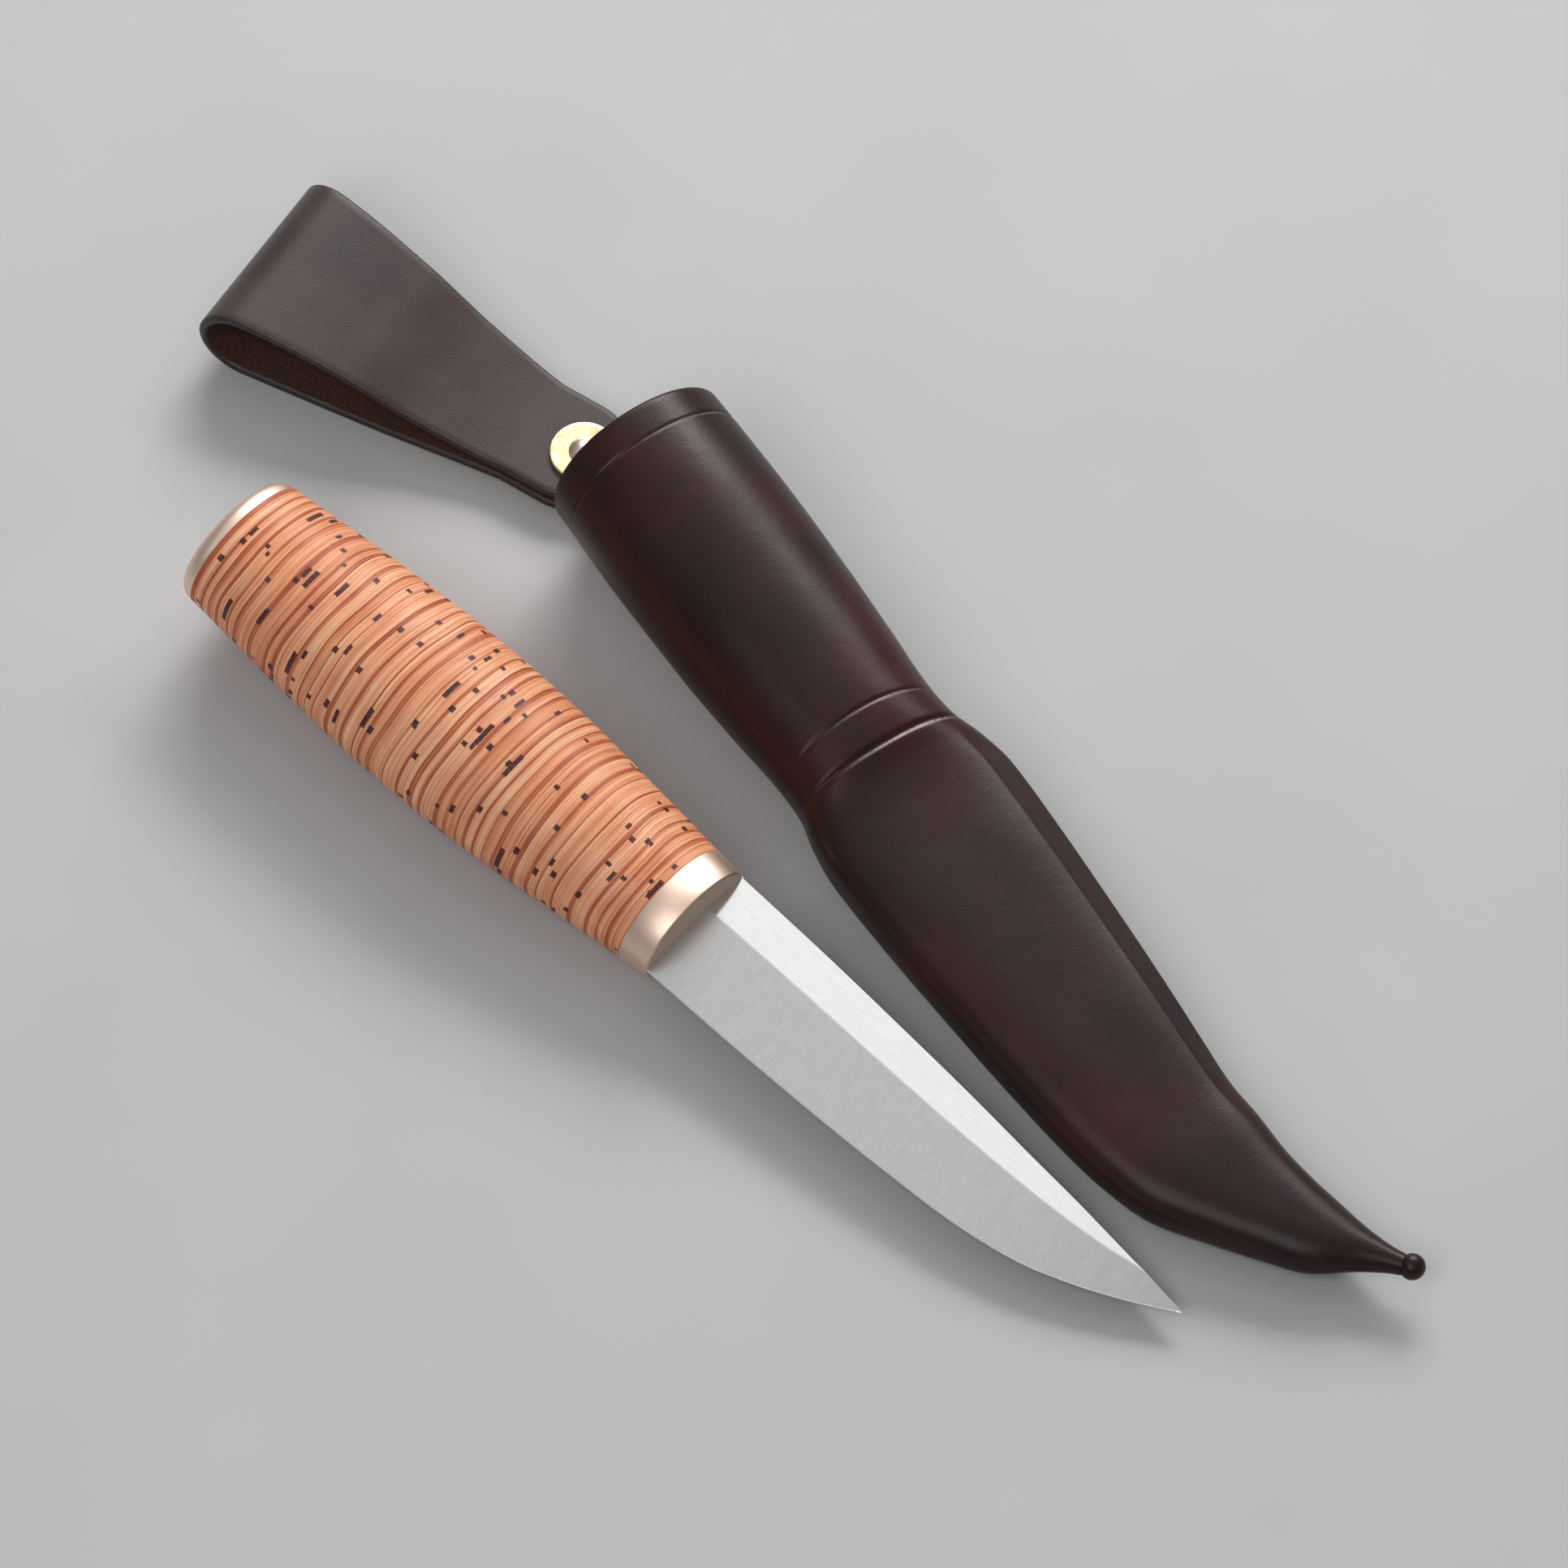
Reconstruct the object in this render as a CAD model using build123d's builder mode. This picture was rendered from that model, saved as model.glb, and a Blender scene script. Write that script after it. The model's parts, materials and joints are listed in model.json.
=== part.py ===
from build123d import *
import os
from math import atan2, cos, degrees, radians, sin

# A whittling knife (stick-tang puukko pattern) lying beside its leather sheath.
# Millimetres, +Z up, +X along the sheath from its mouth to its tail, table at Z = 0.
# The origin is the middle of the whole set's footprint, on the table.

# ---- where the three groups lie -------------------------------------------------
MOUTH_X = -61.45           # middle of the sheath's mouth
MOUTH_Y = 28.19
MOUTH_Z = 16.3
SHEATH_SLOPE = 0.0577      # fall of the sheath's axis per millimetre of length
KNIFE_X = MOUTH_X - 25.0   # end of the pommel, on the handle's axis
KNIFE_Y = MOUTH_Y - 67.3
KNIFE_TURN = 13.1          # knife's direction, in degrees from +X
KNIFE_TILT = 3.4           # how far the point hangs down, in degrees
RIVET_X = MOUTH_X - 10.2   # belt loop's rivet, beyond the mouth
RIVET_Y = MOUTH_Y - 4.3
LOOP_TURN = 202.6          # direction of the belt loop from its rivet, in degrees

# ---- knife, measured along its axis from the pommel's end ------------------------
POMMEL_LENGTH = 3.2
BARK_DISCS = 40
BOLSTER_START = 103.7
BLADE_START = 109.5
HANDLE_FLATNESS = 0.795    # thickness over width of the oval handle
POMMEL_ROUND = 2.2
BOLSTER_ROUND = 0.5
DISC_GAP = 0.01            # glue line between two bark discs
TANG_WIDTH = 8.0
TANG_THICKNESS = 4.0
TANG_SLOT_PLAY = 0.1       # all round the tang inside the bark
TANG_HEAD_WIDTH = 5.0      # peened end of the tang in the pommel
EDGE_HALF = 0.06           # blade's half thickness at its edge
BEVEL_SLOPE = 0.134        # its gain per millimetre up the bevel
FLAT_SLOPE = 0.085         # and its loss per millimetre from the ridge to the spine

# Handle's half width at distances along the knife.
HANDLE_WIDTHS = [(0, 13.2), (24, 15.3), (46, 16.4), (68, 16.0), (90, 14.1), (109.5, 12.1)]

# Blade's cross-sections: distance, spine, ridge and edge height.
BLADE_SECTIONS = [
    (109.5, 12.0, 3.2, -12.0),
    (130.0, 11.0, 2.7, -12.3),
    (150.0, 9.7, 2.1, -12.2),
    (166.0, 8.5, 1.8, -11.7),
    (180.0, 7.2, 1.8, -10.8),
    (192.0, 6.2, 2.3, -8.7),
    (201.0, 5.3, 3.2, -5.5),
    (208.4, 4.5, 4.35, -2.1),
    (214.0, 3.9, 3.8, 1.0),
    (217.8, 3.6, 3.55, 3.3),
]

# ---- sheath ----------------------------------------------------------------------
LEATHER = 1.5
LINER_WALL = 1.3
LINER_PLAY = 0.1
LINER_START = 80.0         # from the mouth
SEAM_HALF_WIDTH = 0.8      # the sewn channel down the middle of the back
SEAM_DEPTH = 0.9
STITCHES = 36
STITCH_PITCH = 4.4
STITCH_LENGTH = 3.3
STITCH_START = 8.0
THREAD_RADIUS = 0.28
THREAD_DEPTH = 0.42        # centre of the thread below the back's surface
BALL_RADIUS = 2.3          # knob at the tip of the tail

OUTLINE_STEPS = 26         # points round each oval section

# Sheath's cross-sections: distance from the mouth, sideways shift, rise above the straight
# axis, turn of the section in degrees, half width, half height, squareness (2 is an oval).
SHEATH_SECTIONS = [
    (0.0, -0.2, 0.0, 0, 17.1, 15.2, 2.1),
    (20.0, -0.2, 0.0, 0, 17.6, 14.9, 2.1),
    (40.0, -0.2, 0.0, 0, 17.4, 13.8, 2.1),
    (55.0, -0.1, 0.0, 0, 16.6, 12.7, 2.2),
    (66.0, 0.0, 0.0, 0, 15.9, 11.8, 2.2),
    (74.0, 0.2, 0.0, 0, 16.2, 10.6, 2.4),
    (80.0, 0.4, 0.0, 0, 17.8, 8.9, 2.8),
    (87.0, 0.6, 0.0, 0, 18.8, 8.0, 3.3),
    (103.0, 0.6, 0.0, 0, 18.4, 7.8, 3.5),
    (120.0, 0.7, 0.0, 0, 17.4, 7.6, 3.5),
    (136.0, 0.8, 0.0, 0, 16.3, 7.4, 3.5),
    (150.0, 1.0, 0.0, 2, 15.1, 7.0, 3.4),
    (159.0, 1.6, 0.0, 5, 14.1, 6.7, 3.2),
    (167.0, 3.2, 0.1, 9, 13.1, 6.4, 3.0),
    (175.5, 6.2, 0.2, 14, 10.4, 5.8, 2.8),
    (183.0, 9.4, 0.4, 20, 8.3, 5.2, 2.6),
    (189.0, 12.3, 0.8, 28, 6.8, 4.4, 2.3),
    (194.5, 16.2, 1.4, 36, 4.0, 3.2, 2.0),
    (198.6, 18.8, 2.0, 40, 2.4, 2.3, 2.0),
    (200.8, 20.2, 2.3, 41, 1.9, 1.9, 2.0),
]
STATION_PITCH = 5.0        # spacing of the cross-sections between those rows
CAVITY_LENGTH = 185.0      # from the mouth to the cavity's closed end
TAIL_LENGTH = 200.8        # and to the neck of the ball
BALL_AT = (202.0, 21.2, 2.4)

# ---- belt loop and its rivet -----------------------------------------------------
STRAP = 1.8                # thickness of the strap
STRAP_GAP = 0.1            # between the strap's two ends and the tab that they clasp
STRAP_BACK_Z = 1.0         # underside of the strap's back layer at the rivet
LOOP_LENGTH = 69.9         # from the rivet to the outside of the fold
LOOP_TOP_Z = 15.9          # middle of the front layer at its highest
FLAT_LENGTH = 11.0         # strap lies flat this far around the rivet
NARROW_HALF = 10.2         # strap's half width at the rivet
WIDE_HALF = 17.5           # and at the fold
END_CENTRE = 2.5           # centre of the strap's round end, beyond the rivet
TAB_HALF_WIDTH = 7.5
TAB_SHIFT = 0.8            # tab's middle beside the rivet, towards the sheath's axis
TAB_REACH = 9.0            # from the rivet to the tab's end
TAB_CORNER = 6.5
TAB_SLOPE_START = -2.0     # the tab slopes down into the back's leather, from the mouth
TAB_SLOPE_END = 5.0
TAB_ROOT_Z = 1.0           # underside of the tab where it joins the back
TAB_ROOT_TOP_Z = 2.4
RIVET_RADIUS = 1.25
RIVET_PLAY = 0.05
COLLAR_PLAY = 0.02         # the washer and the rivet's tail don't pinch the turning strap
WASHER_RADIUS = 6.0
WASHER_THICKNESS = 0.8
HEAD_RADIUS = 2.6
HEAD_HEIGHT = 1.7
TAIL_RADIUS = 2.2
TAIL_HEIGHT = 0.5

TAB_Z = STRAP_BACK_Z + STRAP + STRAP_GAP
FRONT_Z = TAB_Z + LEATHER + STRAP_GAP


def smooth_between(stations, distance, column=1):
    """Cubic through one column of a list of stations, at a distance along it."""
    index = 0
    while index < len(stations) - 2 and distance > stations[index + 1][0]:
        index += 1
    low = max(index - 1, 0)
    high = min(index + 2, len(stations) - 1)
    x0, x1 = stations[index][0], stations[index + 1][0]
    y0, y1 = stations[index][column], stations[index + 1][column]
    slope_0 = (y1 - stations[low][column]) / (x1 - stations[low][0])
    slope_1 = (stations[high][column] - y0) / (stations[high][0] - x0)
    t = (distance - x0) / (x1 - x0)
    span = x1 - x0
    start = (1 + 2 * t) * (1 - t) ** 2 * y0 + t * (1 - t) ** 2 * span * slope_0
    end = t * t * (3 - 2 * t) * y1 + t * t * (t - 1) * span * slope_1
    return start + end


def finish(piece, name):
    """Labels a finished piece and writes it as its own file."""
    piece.part.label = name
    export_step(piece.part, f"parts/{name}.step")


os.makedirs("parts", exist_ok=True)

# ==== knife =======================================================================
# The handle rests on its belly, so the pommel's end stands at the height that brings
# the lowest point of the tilted handle down to the table.


def handle_half_width(distance):
    return smooth_between(HANDLE_WIDTHS, distance)


def rest_height(distance):
    half_thickness = HANDLE_FLATNESS * handle_half_width(distance)
    return half_thickness * cos(radians(KNIFE_TILT)) + distance * sin(radians(KNIFE_TILT))


KNIFE_Z = max(rest_height(distance) for distance in range(int(BLADE_START)))
KNIFE_DIRECTION = Vector(
    cos(radians(KNIFE_TURN)) * cos(radians(KNIFE_TILT)),
    sin(radians(KNIFE_TURN)) * cos(radians(KNIFE_TILT)),
    -sin(radians(KNIFE_TILT)),
)
KNIFE_ACROSS = Vector(-sin(radians(KNIFE_TURN)), cos(radians(KNIFE_TURN)), 0)


def knife_station(distance):
    """Plane square to the knife's axis: its x runs towards the spine, its y upwards."""
    origin = Vector(KNIFE_X, KNIFE_Y, KNIFE_Z) + KNIFE_DIRECTION * distance
    return Plane(origin=origin, x_dir=KNIFE_ACROSS, z_dir=KNIFE_DIRECTION)


def handle_section(distance):
    half_width = handle_half_width(distance)
    with BuildSketch(knife_station(distance)) as section:
        Ellipse(half_width, half_width * HANDLE_FLATNESS)
    return section.sketch


def handle_length(start, end):
    """Adds the oval handle's length between two distances to the open BuildPart."""
    loft([handle_section(distance) for distance in (start, (start + end) / 2, end)])


def tang_section(distance, width, thickness):
    with BuildSketch(knife_station(distance)) as section:
        Rectangle(width, thickness)
    return section.sketch


def cut_tang_slot(start, end, play):
    """Cuts the tang's slot through the open BuildPart."""
    section = tang_section(start, TANG_WIDTH + 2 * play, TANG_THICKNESS + 2 * play)
    extrude(section, amount=end - start, mode=Mode.SUBTRACT)


with BuildPart() as pommel_cap:
    handle_length(0, POMMEL_LENGTH - DISC_GAP)
    end_rim = pommel_cap.edges().sort_by(Axis((0, 0, 0), KNIFE_DIRECTION))[0]
    fillet(end_rim, POMMEL_ROUND)
    head_section = tang_section(0, TANG_HEAD_WIDTH, TANG_THICKNESS)
    extrude(head_section, amount=POMMEL_LENGTH, mode=Mode.SUBTRACT)
finish(pommel_cap, "pommel_cap")

disc_pitch = (BOLSTER_START - POMMEL_LENGTH) / BARK_DISCS
for number in range(BARK_DISCS):
    disc_start = POMMEL_LENGTH + number * disc_pitch
    disc_end = disc_start + disc_pitch - DISC_GAP
    with BuildPart() as bark_disc:
        handle_length(disc_start, disc_end)
        cut_tang_slot(disc_start, disc_end, TANG_SLOT_PLAY)
    finish(bark_disc, f"bark_disc_{number + 1:02d}")

with BuildPart() as bolster:
    handle_length(BOLSTER_START, BLADE_START)
    front_rim = bolster.edges().sort_by(Axis((0, 0, 0), KNIFE_DIRECTION))[-1]
    fillet(front_rim, BOLSTER_ROUND)
    cut_tang_slot(BOLSTER_START, BLADE_START, 0)
finish(bolster, "bolster")


def blade_section(distance, spine, ridge, edge):
    """Six-sided section: flat spine, two upper facets, two long bevels, fine edge."""
    ridge_half = EDGE_HALF + BEVEL_SLOPE * (ridge - edge)
    spine_half = ridge_half - FLAT_SLOPE * (spine - ridge)
    with BuildSketch(knife_station(distance)) as section:
        with BuildLine():
            Polyline(
                (edge, -EDGE_HALF),
                (ridge, -ridge_half),
                (spine, -spine_half),
                (spine, spine_half),
                (ridge, ridge_half),
                (edge, EDGE_HALF),
                close=True,
            )
        make_face()
    return section.sketch


with BuildPart() as blade:
    loft([blade_section(*row) for row in BLADE_SECTIONS], ruled=True)
    tang = tang_section(BLADE_START, TANG_WIDTH, TANG_THICKNESS)
    extrude(tang, amount=-(BLADE_START - POMMEL_LENGTH))
    tang_head = tang_section(POMMEL_LENGTH, TANG_HEAD_WIDTH, TANG_THICKNESS)
    extrude(tang_head, amount=-POMMEL_LENGTH)
finish(blade, "blade")

# ==== sheath ======================================================================


def axis_height(distance):
    return MOUTH_Z - SHEATH_SLOPE * distance


def sheath_plane(distance, shift, rise, turn):
    """Upright plane across the sheath: its x runs sideways, its y upwards."""
    origin = (MOUTH_X + distance, MOUTH_Y + shift, axis_height(distance) + rise)
    across = (-sin(radians(turn)), cos(radians(turn)), 0)
    along = (cos(radians(turn)), sin(radians(turn)), 0)
    return Plane(origin=origin, x_dir=across, z_dir=along)


def oval_point(half_width, half_height, squareness, angle):
    """Point of a squared oval, at an angle in degrees."""
    power = 2 / squareness
    across, upward = cos(radians(angle)), sin(radians(angle))
    x = half_width * abs(across) ** power * (1 if across > 0 else -1)
    y = half_height * abs(upward) ** power * (1 if upward > 0 else -1)
    return (x, y)


def sheath_row(distance):
    """Cross-section's measures at any distance from the mouth."""
    return [smooth_between(SHEATH_SECTIONS, distance, column) for column in range(1, 7)]


def stations_to(end):
    """Evenly spaced distances from the mouth to an end."""
    count = round(end / STATION_PITCH)
    return [end * step / count for step in range(count + 1)]


def leather_section(distance):
    """Squared oval with the sewn channel notched into the middle of its back."""
    shift, rise, turn, half_width, half_height, squareness = sheath_row(distance)
    notch = min(SEAM_HALF_WIDTH, half_width / 4)
    depth = SEAM_DEPTH * notch / SEAM_HALF_WIDTH
    notch_share = (notch / half_width) ** (squareness / 2)
    notch_angle = degrees(atan2((1 - notch_share ** 2) ** 0.5, notch_share))
    points = []
    for step in range(OUTLINE_STEPS + 1):
        angle = -notch_angle + (180 + 2 * notch_angle) * step / OUTLINE_STEPS
        points.append(oval_point(half_width, half_height, squareness, angle))
    with BuildSketch(sheath_plane(distance, shift, rise, turn)) as section:
        with BuildLine():
            Spline(*points)
            Polyline(points[-1], (0, depth - half_height), points[0])
        make_face()
    return section.sketch


def cavity_section(distance, inset):
    shift, rise, turn, half_width, half_height, squareness = sheath_row(distance)
    points = []
    for step in range(OUTLINE_STEPS):
        angle = 360 * step / OUTLINE_STEPS
        points.append(oval_point(half_width - inset, half_height - inset, squareness, angle))
    with BuildSketch(sheath_plane(distance, shift, rise, turn)) as section:
        with BuildLine():
            Spline(*points, periodic=True)
        make_face()
    return section.sketch


def cavity(inset, mode=Mode.ADD):
    """Space inside the sheath, drawn in from the leather's outside by an inset."""
    sections = [cavity_section(distance, inset) for distance in stations_to(CAVITY_LENGTH)]
    loft(sections, ruled=True, mode=mode)


# The tab is the tongue of the back's leather that the belt loop's two ends clasp.
with BuildPart() as mouth_tab:
    tab_y = RIVET_Y + TAB_SHIFT
    with BuildSketch(Plane.XZ.offset(-tab_y)):
        with BuildLine():
            Polyline(
                (RIVET_X - TAB_REACH, TAB_Z),
                (MOUTH_X + TAB_SLOPE_START, TAB_Z),
                (MOUTH_X + TAB_SLOPE_END, TAB_ROOT_Z),
                (MOUTH_X + TAB_SLOPE_END, TAB_ROOT_TOP_Z),
                (MOUTH_X + TAB_SLOPE_START, TAB_Z + LEATHER),
                (RIVET_X - TAB_REACH, TAB_Z + LEATHER),
                close=True,
            )
        make_face()
    extrude(amount=TAB_HALF_WIDTH, both=True)
    end_corners = mouth_tab.edges().filter_by(Axis.Z).sort_by(Axis.X)[:2]
    fillet(end_corners, TAB_CORNER)
    with BuildSketch(Plane.XY):
        with Locations((RIVET_X, RIVET_Y)):
            Circle(RIVET_RADIUS)
    extrude(amount=2 * FRONT_Z, mode=Mode.SUBTRACT)

with BuildPart() as sheath_leather:
    loft([leather_section(distance) for distance in stations_to(TAIL_LENGTH)], ruled=True)
    ball_distance, ball_shift, ball_rise = BALL_AT
    with Locations(sheath_plane(ball_distance, ball_shift, ball_rise, 0).origin):
        Sphere(BALL_RADIUS)
    cavity(LEATHER, mode=Mode.SUBTRACT)
    add(mouth_tab.part)
finish(sheath_leather, "sheath_leather")

# The liner is a thin carved case in two halves, parted along the blade's own plane.
parting_plane = Plane(
    origin=(MOUTH_X, MOUTH_Y, MOUTH_Z),
    x_dir=(1, 0, -SHEATH_SLOPE),
    z_dir=(SHEATH_SLOPE, 0, 1),
)
for half_name, kept_side in (("liner_front", Keep.TOP), ("liner_back", Keep.BOTTOM)):
    with BuildPart() as liner_half:
        cavity(LEATHER + LINER_PLAY)
        cavity(LEATHER + LINER_PLAY + LINER_WALL, mode=Mode.SUBTRACT)
        split(bisect_by=Plane.YZ.offset(MOUTH_X + LINER_START), keep=Keep.TOP)
        split(bisect_by=parting_plane, keep=kept_side)
    finish(liner_half, half_name)


def seam_point(distance):
    """Centre of the thread at a distance from the mouth, sunk in the back's channel."""
    shift, rise, _, _, half_height, _ = sheath_row(distance)
    height = axis_height(distance) + rise - half_height + THREAD_DEPTH
    return Vector(MOUTH_X + distance, MOUTH_Y + shift, height)


with BuildPart() as seam_thread:
    for number in range(STITCHES):
        stitch_start = seam_point(STITCH_START + number * STITCH_PITCH)
        stitch_end = seam_point(STITCH_START + number * STITCH_PITCH + STITCH_LENGTH)
        run = stitch_end - stitch_start
        with BuildSketch(Plane(origin=stitch_start, z_dir=run)):
            Circle(THREAD_RADIUS)
        extrude(amount=run.length)
finish(seam_thread, "seam_thread")

# ==== belt loop ===================================================================
loop_direction = Vector(cos(radians(LOOP_TURN)), sin(radians(LOOP_TURN)), 0)
loop_across = Vector(-sin(radians(LOOP_TURN)), cos(radians(LOOP_TURN)), 0)
loop_side = Plane(origin=(RIVET_X, RIVET_Y, 0), x_dir=loop_direction, z_dir=-loop_across)
loop_plan = Plane(origin=(RIVET_X, RIVET_Y, 0), x_dir=loop_direction, z_dir=(0, 0, 1))

back_middle = STRAP_BACK_Z + STRAP / 2
front_middle = FRONT_Z + STRAP / 2
fold_radius = (LOOP_TOP_Z - STRAP / 2) / 2
fold_x = LOOP_LENGTH - STRAP / 2 - fold_radius
fold_z = LOOP_TOP_Z - fold_radius

with BuildPart() as belt_loop:
    # The strap's middle line: out along the front, round the fold, and home along the back.
    with BuildSketch(loop_side) as strap_side:
        with BuildLine():
            front_flat = Line((-NARROW_HALF, front_middle), (FLAT_LENGTH, front_middle))
            front_rise = Spline(
                (FLAT_LENGTH, front_middle),
                (FLAT_LENGTH + 17, front_middle + 3.1),
                (fold_x - 20, LOOP_TOP_Z - 3.1),
                (fold_x, LOOP_TOP_Z),
                tangents=[(1, 0.1), (1, 0)],
            )
            fold = CenterArc((fold_x, fold_z), fold_radius, 90, -180)
            back_fall = Spline(
                fold @ 1,
                (fold_x - 26, STRAP / 2),
                (FLAT_LENGTH, back_middle),
                tangents=[(-1, 0), (-1, 0)],
            )
            back_flat = Line(back_fall @ 1, (-NARROW_HALF, back_middle))
        trace(line_width=STRAP)
    extrude(amount=WIDE_HALF, both=True)
    # The strap is narrow and round at the rivet and widens towards the fold.
    with BuildSketch(loop_plan):
        with BuildLine():
            side_a = Line((LOOP_LENGTH + 1, WIDE_HALF), (FLAT_LENGTH, NARROW_HALF))
            side_b = Line(side_a @ 1, (END_CENTRE, NARROW_HALF))
            round_end = CenterArc((END_CENTRE, 0), NARROW_HALF, 90, 180)
            side_c = Line((END_CENTRE, -NARROW_HALF), (FLAT_LENGTH, -NARROW_HALF))
            side_d = Line(side_c @ 1, (LOOP_LENGTH + 1, -WIDE_HALF))
            Line(side_d @ 1, side_a @ 0)
        make_face()
    extrude(amount=2 * LOOP_TOP_Z, mode=Mode.INTERSECT)
    with BuildSketch(loop_plan):
        Circle(RIVET_RADIUS + RIVET_PLAY)
    extrude(amount=2 * FRONT_Z, mode=Mode.SUBTRACT)
finish(belt_loop, "belt_loop")

# ==== rivet and washer ============================================================
front_top = FRONT_Z + STRAP

with BuildPart() as front_washer:
    with BuildSketch(Plane.XY.offset(front_top + COLLAR_PLAY)):
        with Locations((RIVET_X, RIVET_Y)):
            Circle(WASHER_RADIUS)
            Circle(RIVET_RADIUS, mode=Mode.SUBTRACT)
    extrude(amount=WASHER_THICKNESS)
finish(front_washer, "front_washer")

with BuildPart() as rivet:
    tail_z = STRAP_BACK_Z - COLLAR_PLAY - TAIL_HEIGHT
    head_z = front_top + COLLAR_PLAY + WASHER_THICKNESS
    dome_radius = (HEAD_RADIUS ** 2 + HEAD_HEIGHT ** 2) / (2 * HEAD_HEIGHT)
    with BuildSketch(Plane(origin=(RIVET_X, RIVET_Y, 0), x_dir=(1, 0, 0), z_dir=(0, -1, 0))):
        with BuildLine():
            Polyline(
                (0, tail_z),
                (TAIL_RADIUS, tail_z),
                (TAIL_RADIUS, tail_z + TAIL_HEIGHT),
                (RIVET_RADIUS, tail_z + TAIL_HEIGHT),
                (RIVET_RADIUS, head_z),
                (HEAD_RADIUS, head_z),
            )
            RadiusArc((HEAD_RADIUS, head_z), (0, head_z + HEAD_HEIGHT), -dome_radius)
            Line((0, head_z + HEAD_HEIGHT), (0, tail_z))
        make_face()
    revolve(axis=Axis((RIVET_X, RIVET_Y, 0), (0, 0, 1)))
finish(rivet, "rivet")
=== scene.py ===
"""Whittling knife with a stacked birch-bark handle, beside its leather sheath and belt loop."""
import json
from math import atan2, cos, exp, pi, radians, sin, sqrt
from random import Random

import bpy
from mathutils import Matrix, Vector, noise


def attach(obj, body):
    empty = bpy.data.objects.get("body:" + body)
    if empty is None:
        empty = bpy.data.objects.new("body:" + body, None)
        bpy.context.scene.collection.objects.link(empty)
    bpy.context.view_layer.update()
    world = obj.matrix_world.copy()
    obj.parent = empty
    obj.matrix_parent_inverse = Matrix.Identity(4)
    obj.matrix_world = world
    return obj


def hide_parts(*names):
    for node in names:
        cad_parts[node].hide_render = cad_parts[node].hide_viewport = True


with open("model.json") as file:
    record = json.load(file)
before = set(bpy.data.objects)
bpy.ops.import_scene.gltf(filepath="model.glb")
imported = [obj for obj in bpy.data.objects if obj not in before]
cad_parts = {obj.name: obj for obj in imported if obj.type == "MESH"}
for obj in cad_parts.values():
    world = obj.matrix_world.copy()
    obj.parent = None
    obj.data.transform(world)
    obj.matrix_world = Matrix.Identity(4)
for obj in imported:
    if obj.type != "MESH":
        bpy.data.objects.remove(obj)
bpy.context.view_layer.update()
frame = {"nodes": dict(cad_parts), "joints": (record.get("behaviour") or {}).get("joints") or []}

MM = 0.001

# Millimetres, in the frame's own axes. Sheath, knife and loop are placed from the middle of the
# sheath's mouth, which lies at a fixed place beside the belt loop's pivot.
PIVOT = next(Vector(j["pos_m"]) for j in frame["joints"] if j["name"] == "loop_swing") / MM
RIVET_X, RIVET_Y = PIVOT.x, PIVOT.y
MOUTH_X, MOUTH_Y, MOUTH_Z = RIVET_X + 10.2, RIVET_Y + 4.3, 16.3

# ---- knife ----
KNIFE_X, KNIFE_Y = MOUTH_X - 25.0, MOUTH_Y - 67.3
KNIFE_TURN = radians(13.1)
KNIFE_TILT = radians(3.4)
HANDLE_FLATNESS = 0.795
HANDLE_WIDTHS = [(0, 13.2), (24, 15.3), (46, 16.4), (68, 16.0), (90, 14.1), (109.5, 12.1)]
POMMEL_LENGTH = 3.2
BOLSTER_START = 103.7
BLADE_START = 109.5
BARK_DISCS = 40
LEAVES_PER_DISC = 8
DISC_GAP = 0.01            # glue line between two discs
HANDLE_POINTS = 168        # points round each ring of the handle
TANG_HALF = (4.0, 2.0)     # half width and half thickness
TANG_HEAD_HALF = (2.5, 2.0)
SLOT_PLAY = 0.1            # round the tang in the bark
METAL_PLAY = (0.03, 0.02)  # round the tang in the pommel and in the bolster
SEAT_DEPTH = 0.5           # how deep the blade's root sits in the bolster

EDGE_HALF = 0.06           # blade's half thickness at its edge
BEVEL_SLOPE = 0.134        # its gain per millimetre up the bevel
FLAT_SLOPE = 0.085         # and its loss per millimetre from the ridge to the spine
# Distance, spine, ridge and edge height.
BLADE_SECTIONS = [
    (109.5, 12.0, 3.2, -12.0),
    (130.0, 11.0, 2.7, -12.3),
    (150.0, 9.7, 2.1, -12.2),
    (166.0, 8.5, 1.8, -11.7),
    (180.0, 7.2, 1.8, -10.8),
    (192.0, 6.2, 2.3, -8.7),
    (201.0, 5.3, 3.2, -5.5),
    (208.4, 4.5, 4.35, -2.1),
    (214.0, 3.9, 3.8, 1.0),
    (217.8, 3.6, 3.55, 3.3),
]

# ---- sheath ----
LEATHER = 1.5
SHEATH_SLOPE = 0.0577
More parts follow.
